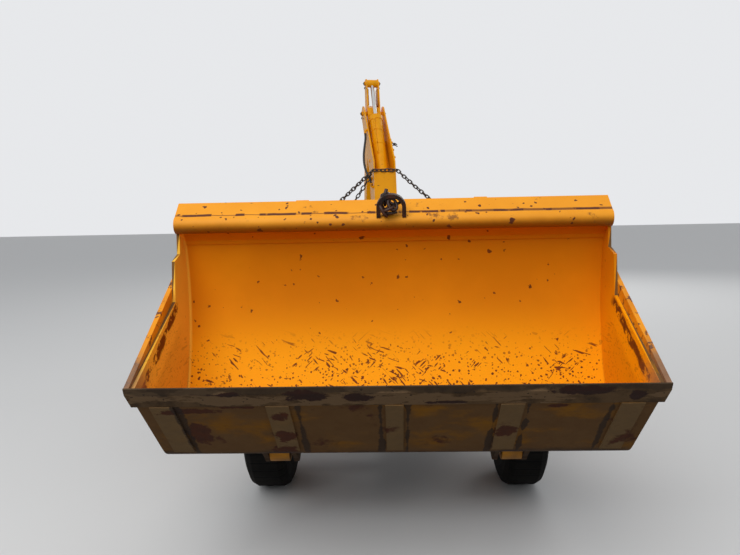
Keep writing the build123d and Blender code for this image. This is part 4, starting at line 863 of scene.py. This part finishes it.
# %% Hose on the boom
hose_points = [on_hoe(*p) for p in (
    (-0.150, 0.655, 2.520), (-0.153, 0.620, 2.460), (-0.180, 0.552, 2.360), (-0.206, 0.475, 2.255),
    (-0.214, 0.410, 2.150), (-0.200, 0.365, 2.060), (-0.166, 0.345, 1.990), (-0.150, 0.338, 1.930))]
hose_curve = bpy.data.curves.new("boom_hose", "CURVE")
hose_curve.dimensions = "3D"
hose_line = hose_curve.splines.new("NURBS")
hose_line.points.add(len(hose_points) - 1)
for target, point in zip(hose_line.points, hose_points):
    target.co = (*point, 1.0)
hose_line.order_u = 3
hose_line.use_endpoint_u = True
hose_curve.bevel_depth = 0.0125
hose_curve.bevel_resolution = 4
hose_curve.use_fill_caps = True
hose_curve.materials.append(hose_rubber)
boom_hose = bpy.data.objects.new("boom_hose", hose_curve)
bpy.context.scene.collection.objects.link(boom_hose)
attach(boom_hose, "boom")
hose_length = sum((b - a).length for a, b in zip(hose_points, hose_points[1:]))
print("hose:", round(hose_length, 3), "m")

# %% Elbows, bracket and clamps on the boom
upper_way = hoe_out * 0.605 + Vector((0, 0, 0.796))
upper_front = hoe_out * -0.796 + Vector((0, 0, 0.605))
upper_axes = Matrix((hoe_side, upper_front, upper_way)).transposed()


def on_upper_boom(side, along, front):
    """Point on the boom's upper half: along it from the knee, and forward of its middle line."""
    return on_hoe(side, 0.450, 2.123) + upper_way * along + upper_front * front


def build_boom_fittings(bm):
    for place, onward in ((hose_points[0], Vector((0, 0, 1))), (hose_points[-1], Vector((0, 0, -1)))):
        turn_point = place + onward * 0.035
        tube(bm, bent([place, turn_point, turn_point + hoe_side * 0.030], 0.02), 0.0105, 10)
        turned_profile(bm, place - onward * 0.006, onward, [(0, 0.0155), (0.024, 0.0155), (0.026, 0.012)], 6)
        turned_profile(bm, turn_point + hoe_side * 0.012, hoe_side, [(0, 0.018), (0.014, 0.018)], 6)
    low, high = Vector((0.125, 0.060, 0.02)), Vector((0.137, 0.098, 0.34))
    middle = on_upper_boom((low.x + high.x) / 2, (low.z + high.z) / 2, (low.y + high.y) / 2)
    bevelled_block(bm, middle - (high - low) / 2, middle + (high - low) / 2, 0.005, upper_axes)
    for along in (0.07, 0.18, 0.29):
        bolt(bm, on_upper_boom(0.136, along, 0.079), hoe_side, 0.022)
    for side in (-1, 1):
        for along in (0.12, 0.52):
            turned_profile(bm, on_upper_boom(side * 0.1245, along, -0.04), hoe_side * side,
                           [(0, 0.020), (0.006, 0.020), (0.008, 0.017)], 16)


def build_clamps(bm):
    for along in (0.245, 0.275):
        foot = on_upper_boom(0.135, along, 0.085)
        end = foot + hoe_side * 0.062 - Vector((0, 0, 0.016))
        tube(bm, bent([foot, foot + hoe_side * 0.040, end], 0.012), 0.006, 8)
    turned_profile(bm, on_upper_boom(0.150, 0.26, 0.085), hoe_side,
                   [(0, 0.013), (0.024, 0.013), (0.028, 0.009)], 8)


# Doubler plates thicken the dipper's tail plates on their inner faces; their darker low paint is partly
# painted shade between the plates.
def build_doublers(bm):
    tail = on_hoe(0, 1.000, 3.141)
    down = (hoe_out * -0.136 + Vector((0, 0, -0.991))).normalized()
    axes = Matrix((hoe_side, down.cross(hoe_side), down)).transposed()
    for side in (-1, 1):
        middle = tail + hoe_side * side * 0.0555 + down * 0.172
        half = Vector((0.0065, 0.045, 0.100))
        bevelled_block(bm, middle - half, middle + half, 0.004, axes)


new_piece("dipper_doublers", "dipper", low_paint, build_doublers)
new_piece("boom_fittings", "boom", boom_paint, build_boom_fittings)
new_piece("boom_clamps", "boom", dark_steel, build_clamps)
print("boom fittings ready")

# %% [markdown]
# ## Pin keepers, wheel nuts and axle caps
# Every pivot pin has a keeper: a small plate beside the pin with one bolt. Wheels have their ring of
# nuts on the disc and a cap over the hub. They come from short tables, and each wheel's nuts turn
# with that wheel.

# %% Wheel nuts and hub caps


def build_wheel_nuts(bm, wheel_x, centre_y, centre_z, disc_x, ring, count, cap_x, cap_radius):
    """Ring of wheel nuts on one side of the machine, with a domed hub cap."""
    side = 1 if wheel_x > 0 else -1
    for k in range(count):
        t = 2 * pi * (k + 0.5) / count
        place = Vector((wheel_x + side * disc_x, centre_y + ring * cos(t), centre_z + ring * sin(t)))
        bolt(bm, place, (side, 0, 0), 0.027, 0.020)
        turned_profile(bm, place, (side, 0, 0), [(0.018, 0.008), (0.030, 0.008), (0.032, 0.006)], 8)
    dome = [(-0.002, cap_radius), (0.006, cap_radius), (0.016, cap_radius * 0.85), (0.021, cap_radius * 0.5),
            (0.022, 0.004)]
    turned_profile(bm, (wheel_x + side * cap_x, centre_y, centre_z), (side, 0, 0), dome, 28)
    valve = Vector((wheel_x + side * (disc_x + 0.01), centre_y - ring * 1.45, centre_z))
    turned_profile(bm, valve, (side, -0.3, 0), [(0, 0.006), (0.03, 0.004), (0.034, 0.004)], 8)


for side, hand in ((1, "left"), (-1, "right")):
    new_piece("front_wheel_nuts_" + hand, "front_wheel_" + hand, bolt_steel,
              lambda bm: build_wheel_nuts(bm, side * 0.72, -2.05, 0.42, 0.040, 0.090, 6, 0.070, 0.040))
    new_piece("rear_wheel_nuts_" + hand, "rear_wheel_" + hand, bolt_steel,
              lambda bm: build_wheel_nuts(bm, side * 0.75, 0.0, 0.70, 0.0, 0.140, 8, 0.030, 0.070))
print("wheel nuts on 4 wheels")

# %% Pin keepers


def build_keepers(bm, table):
    """Keeper plates and bolts: each row is a pin's end, the way it faces, and the way to the bolt."""
    for place, way, toward in table:
        place, way, toward = Vector(place), Vector(way).normalized(), Vector(toward).normalized()
        turned_profile(bm, place, way, [(-0.001, 0.019), (0.005, 0.019), (0.007, 0.016)], 20)
        turned_profile(bm, place + way * 0.006, way, [(0, 0.006), (0.005, 0.005), (0.009, 0.003)], 10)
        bolt(bm, place + toward * 0.052 - way * 0.008, way, 0.018, 0.010)


def hoe_ends(half_width, out, up):
    """Both ends of a pin of the backhoe, with the ways that a keeper needs."""
    return [(on_hoe(side * half_width, out, up), hoe_side * side, (0, 0, -1)) for side in (-1, 1)]


arm_keepers = [((side * 0.595, -1.950, 1.105), (side, 0, 0), (0, 0, 1)) for side in (-1, 1)]
bucket_keepers = [((side * 0.606, -2.957, 0.521), (side, 0, 0), (0, 1, -0.6)) for side in (-1, 1)]
hoe_keepers = hoe_ends(0.142, 0.95, 2.781) + hoe_ends(0.134, 0.43, 1.99)
dipper_keepers = hoe_ends(0.092, 1.0, 3.141)
for name, body, finish, table in (
        ("arm_pin_keepers", "loader_arms", bolt_steel, arm_keepers),
        ("bucket_pin_keepers", "loader_bucket", bolt_steel, bucket_keepers),
        ("boom_pin_keepers", "boom", dark_steel, hoe_keepers),
        ("dipper_pin_keepers", "dipper", dark_steel, dipper_keepers)):
    new_piece(name, body, finish, lambda bm: build_keepers(bm, table))
print("pin keepers:", len(arm_keepers) + len(bucket_keepers) + len(hoe_keepers) + len(dipper_keepers))

# %% [markdown]
# ## Hood, nose and station
# Sheet metal is never one smooth skin: the hood has a hinge strip, side louvres, latches and a filler
# cap, and the dash carries gauges in front of the operator. The louvres are rounded ribs that lean a
# little, set out in a row by a loop.

# %% Hood details


def build_hood_trim(bm):
    bevelled_block(bm, (-0.012, -2.385, 1.498), (0.012, -1.185, 1.504), 0.002)
    for y in (-2.05, -1.50):
        for x in (-0.02, 0.02):
            bevelled_block(bm, (x - 0.018, y - 0.03, 1.4985), (x + 0.018, y + 0.03, 1.503), 0.0015)
    louvre_lean = Matrix.Rotation(radians(8), 3, "X")
    for side in (-1, 1):
        inner, outer = side * 0.333 - 0.006, side * 0.333 + 0.006
        for k in range(9):
            y = -2.24 + k * 0.052
            bevelled_block(bm, (inner, y - 0.010, 1.06), (outer, y + 0.010, 1.30), 0.0055, louvre_lean, 3)
        for y in (-2.32, -1.26):
            bevelled_block(bm, (inner, y - 0.018, 0.945), (outer, y + 0.018, 1.005), 0.004)
            turned_profile(bm, (side * 0.336, y, 0.975), (side, 0, 0),
                           [(0, 0.010), (0.008, 0.009), (0.010, 0.006)], 14)


def build_caps(bm):
    for x, y, neck, lid, top, lid_foot, lid_top in (
            (0.10, -2.24, 0.034, 0.045, 0.038, 0.010, 0.026),
            (-0.13, -1.30, 0.030, 0.040, 0.034, 0.008, 0.022)):
        turned_profile(bm, (x, y, 1.495), (0, 0, 1), [
            (0, neck), (lid_foot, neck), (lid_foot + 0.002, lid), (lid_top, lid), (lid_top + 0.004, top)], 24)


new_piece("hood_trim", "chassis", machine_paint, build_hood_trim)
new_piece("hood_caps", "chassis", dark_steel, build_caps)
print("hood trim ready")

# %% Dash gauges and lamp rims


gauges = (  # x, z, radius, lean of the needle
    (-0.15, 1.36, 0.034, 40), (-0.05, 1.37, 0.042, -60), (0.06, 1.37, 0.042, 15), (0.16, 1.36, 0.034, -20))


def round_spot(middle, radius, degrees):
    """Point around a middle in an upright plane, with 0 degrees at the top."""
    t = radians(degrees)
    return Vector(middle) + Vector((radius * sin(t), 0, radius * cos(t)))


def build_gauge_rims(bm):
    for x, z, radius, _ in gauges:
        turned_profile(bm, (x, -1.0602, z), (0, 1, 0), [
            (0.0, radius), (0.006, radius + 0.002), (0.009, radius - 0.001), (0.006, radius - 0.005),
            (0.003, radius - 0.005)], 28)
    for side in (-1, 1):
        lamp = (side * lamp_x, -2.4525, lamp_z)
        tube(bm, [round_spot(lamp, 0.0635, 90 - 9 * k) for k in range(41)], 0.0035, 8)


def build_gauge_needles(bm):
    for x, z, radius, lean in gauges:
        tube(bm, [(x, -1.0565, z), round_spot((x, -1.0565, z), radius * 0.7, lean)], 0.0011, 6)
        for degrees in range(-120, 121, 30):
            middle = (x, -1.0568, z)
            tube(bm, [round_spot(middle, radius * reach, degrees) for reach in (0.66, 0.80)], 0.0009, 5)


new_piece("gauge_rims", "chassis", rod_chrome, build_gauge_rims)
new_piece("gauge_needles", "chassis", lamp_glass, build_gauge_needles)
print("gauges ready")

# %% [markdown]
# ## The seat
# The seat is padded vinyl on a steel pan. Each cushion starts as a finely divided block whose faces
# are crowned, whose edges are rounded and whose top has sewn channels, and a piping tube follows
# its widest line. The solid seat of the model is replaced by these three pieces.

# %% Seat cushions


def build_cushion(bm, low, high, crown, face_axis):
    """Crowned cushion between two corners, with sewn channels across its face and piping around."""
    low, high = Vector(low), Vector(high)
    middle, half = (low + high) / 2, (high - low) / 2
    across, along = (k for k in range(3) if k != face_axis)
    made = bmesh.ops.create_cube(bm, size=2.0)["verts"]
    bmesh.ops.subdivide_edges(bm, edges=edges_of(made), cuts=23, use_grid_fill=True)
    for vert in bm.verts:
        u, v, w = vert.co[across], vert.co[along], vert.co[face_axis]
        rim = max(abs(u), abs(v)) ** 5
        pull = 1 - 0.05 * w * w
        corner = 1 - 0.045 * (u * u * v * v) ** 2
        depth = w * half[face_axis] * (1 - 0.42 * rim) * (0.82 + crown * (1 - u * u) * (1 - v * v))
        if w > 0.9:
            depth -= sum(0.006 * max(0.0, 1 - abs(u - channel) / 0.05) for channel in (-0.45, 0.0, 0.45))
        vert.co[across] = u * half[across] * pull * corner + middle[across]
        vert.co[along] = v * half[along] * pull * corner + middle[along]
        vert.co[face_axis] = depth + middle[face_axis]
    piping = []
    for k in range(97):
        t = 2 * pi * k / 96
        spot = middle.copy()
        spot[across] += max(-1, min(1, 1.18 * cos(t))) * 0.985 * half[across]
        spot[along] += max(-1, min(1, 1.18 * sin(t))) * 0.985 * half[along]
        spot[face_axis] += half[face_axis] * 0.30
        piping.append(spot)
    tube(bm, piping, 0.0045, 8)


seat_cushion = new_piece("seat_cushion", "seat", seat_vinyl, lambda bm: build_cushion(
    bm, (-0.230, -0.135, 1.172), (0.230, 0.270, 1.262), 0.16, 2), 1.0)
seat_rest = new_piece("seat_backrest", "seat", seat_vinyl, lambda bm: build_cushion(
    bm, (-0.220, 0.246, 1.205), (0.220, 0.326, 1.598), 0.14, 1), 1.0)


def build_seat_pan(bm):
    bevelled_block(bm, (-0.205, -0.115, 1.160), (0.205, 0.290, 1.176), 0.006)
    bevelled_block(bm, (-0.170, -0.080, 1.1303), (0.170, 0.280, 1.162), 0.008)
    for side in (-1, 1):
        strap = [(side * 0.15, y, z) for y, z in ((0.26, 1.165), (0.318, 1.18), (0.322, 1.50))]
        tube(bm, bent(strap, 0.03), 0.009, 10)


seat_pan = new_piece("seat_pan", "seat", dark_steel, build_seat_pan)
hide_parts("seat")
print("seat pieces:", seat_cushion.name, seat_rest.name, seat_pan.name)

# %% [markdown]
# ## Ground, sky and lamps
# The machine stands on a plain pale floor under a plain pale sky. Camera, glossy and transmission
# rays see a clean pale colour, and the other rays see a softer one, so the background never
# over-lights the paint. One broad lamp high in front and a weak one behind give soft shadows, as on
# an overcast day.

# %% Floor, sky and lamps


def seen_plainly(tree):
    """Mask of the rays that see the clean pale colour: camera, glossy and transmission rays."""
    rays = add_node(tree, "ShaderNodeLightPath", {})
    return reduce(or_, [Field(rays["Is " + kind + " Ray"]) for kind in ("Camera", "Glossy", "Transmission")])


floor_mesh = bpy.data.meshes.new("floor")
floor = bpy.data.objects.new("floor", floor_mesh)
bpy.context.scene.collection.objects.link(floor)
floor_bm = bmesh.new()
bmesh.ops.create_grid(floor_bm, x_segments=1, y_segments=1, size=60.0)
floor_bm.to_mesh(floor_mesh)
floor_bm.free()
floor_finish = new_material("pale floor", 0.9)[0]
floor_colour = lay_over(seen_plainly(floor_finish.node_tree), (0.10, 0.095, 0.09), (0.62, 0.62, 0.61))
floor_mesh.materials.append(coated(floor_finish, floor_colour))

world = bpy.data.worlds.new("pale sky")
bpy.context.scene.world = world
world.use_nodes = True
sky = world.node_tree
soft_sky = sky.nodes["Background"]
feed(soft_sky.inputs["Color"], (0.86, 0.88, 0.92))
feed(soft_sky.inputs["Strength"], 0.62)
plain_sky = add_node(sky, "ShaderNodeBackground", {"Color": (0.80, 0.81, 0.83), "Strength": 1.0})
mixed_sky = add_node(sky, "ShaderNodeMixShader", {
    "Fac": seen_plainly(sky), 1: soft_sky.outputs[0], 2: plain_sky[0]})
feed(sky.nodes["World Output"].inputs["Surface"], mixed_sky[0])


def broad_lamp(name, place, target, size, power):
    """Square area lamp that faces a target."""
    lamp = bpy.data.lights.new(name, "AREA")
    lamp.size = size
    lamp.energy = power
    holder = bpy.data.objects.new(name, lamp)
    bpy.context.scene.collection.objects.link(holder)
    way = Vector(target) - Vector(place)
    holder.matrix_world = Matrix.Translation(place) @ way.to_track_quat("-Z", "Y").to_matrix().to_4x4()


broad_lamp("front lamp", (-2.5, -8.5, 7.5), (0, -2.0, 0.8), 7.0, 620)
broad_lamp("rear lamp", (3.5, 8.5, 7.0), (0, 1.0, 1.0), 6.0, 300)

# %% [markdown]
# ## The camera
# The photograph was taken by hand in front of the bucket, at about eye height, looking a little
# down and a little to the left, with the phone held slightly askew. The camera takes the same place,
# lens and lean, so the bucket's edge crosses the picture at the same height and slope.

# %% Camera
image_width = 740
focal_in_pixels = 680
camera_data = bpy.data.cameras.new("camera")
camera_data.sensor_width = 36.0
camera_data.lens = 36.0 * focal_in_pixels / image_width
camera_data.clip_end = 300.0
camera = bpy.data.objects.new("camera", camera_data)
bpy.context.scene.collection.objects.link(camera)
look_down, look_left, askew = radians(5.38), radians(1.89), radians(-1.12)
camera.matrix_world = (
    Matrix.Translation((0, -6.02, 1.6))
    @ Matrix.Rotation(look_left, 4, "Z")
    @ Matrix.Rotation(pi / 2 - look_down, 4, "X")
    @ Matrix.Rotation(askew, 4, "Z")
)
bpy.context.scene.camera = camera
bpy.context.scene.view_settings.view_transform = "Standard"
print("lens", round(camera_data.lens, 1), "mm")
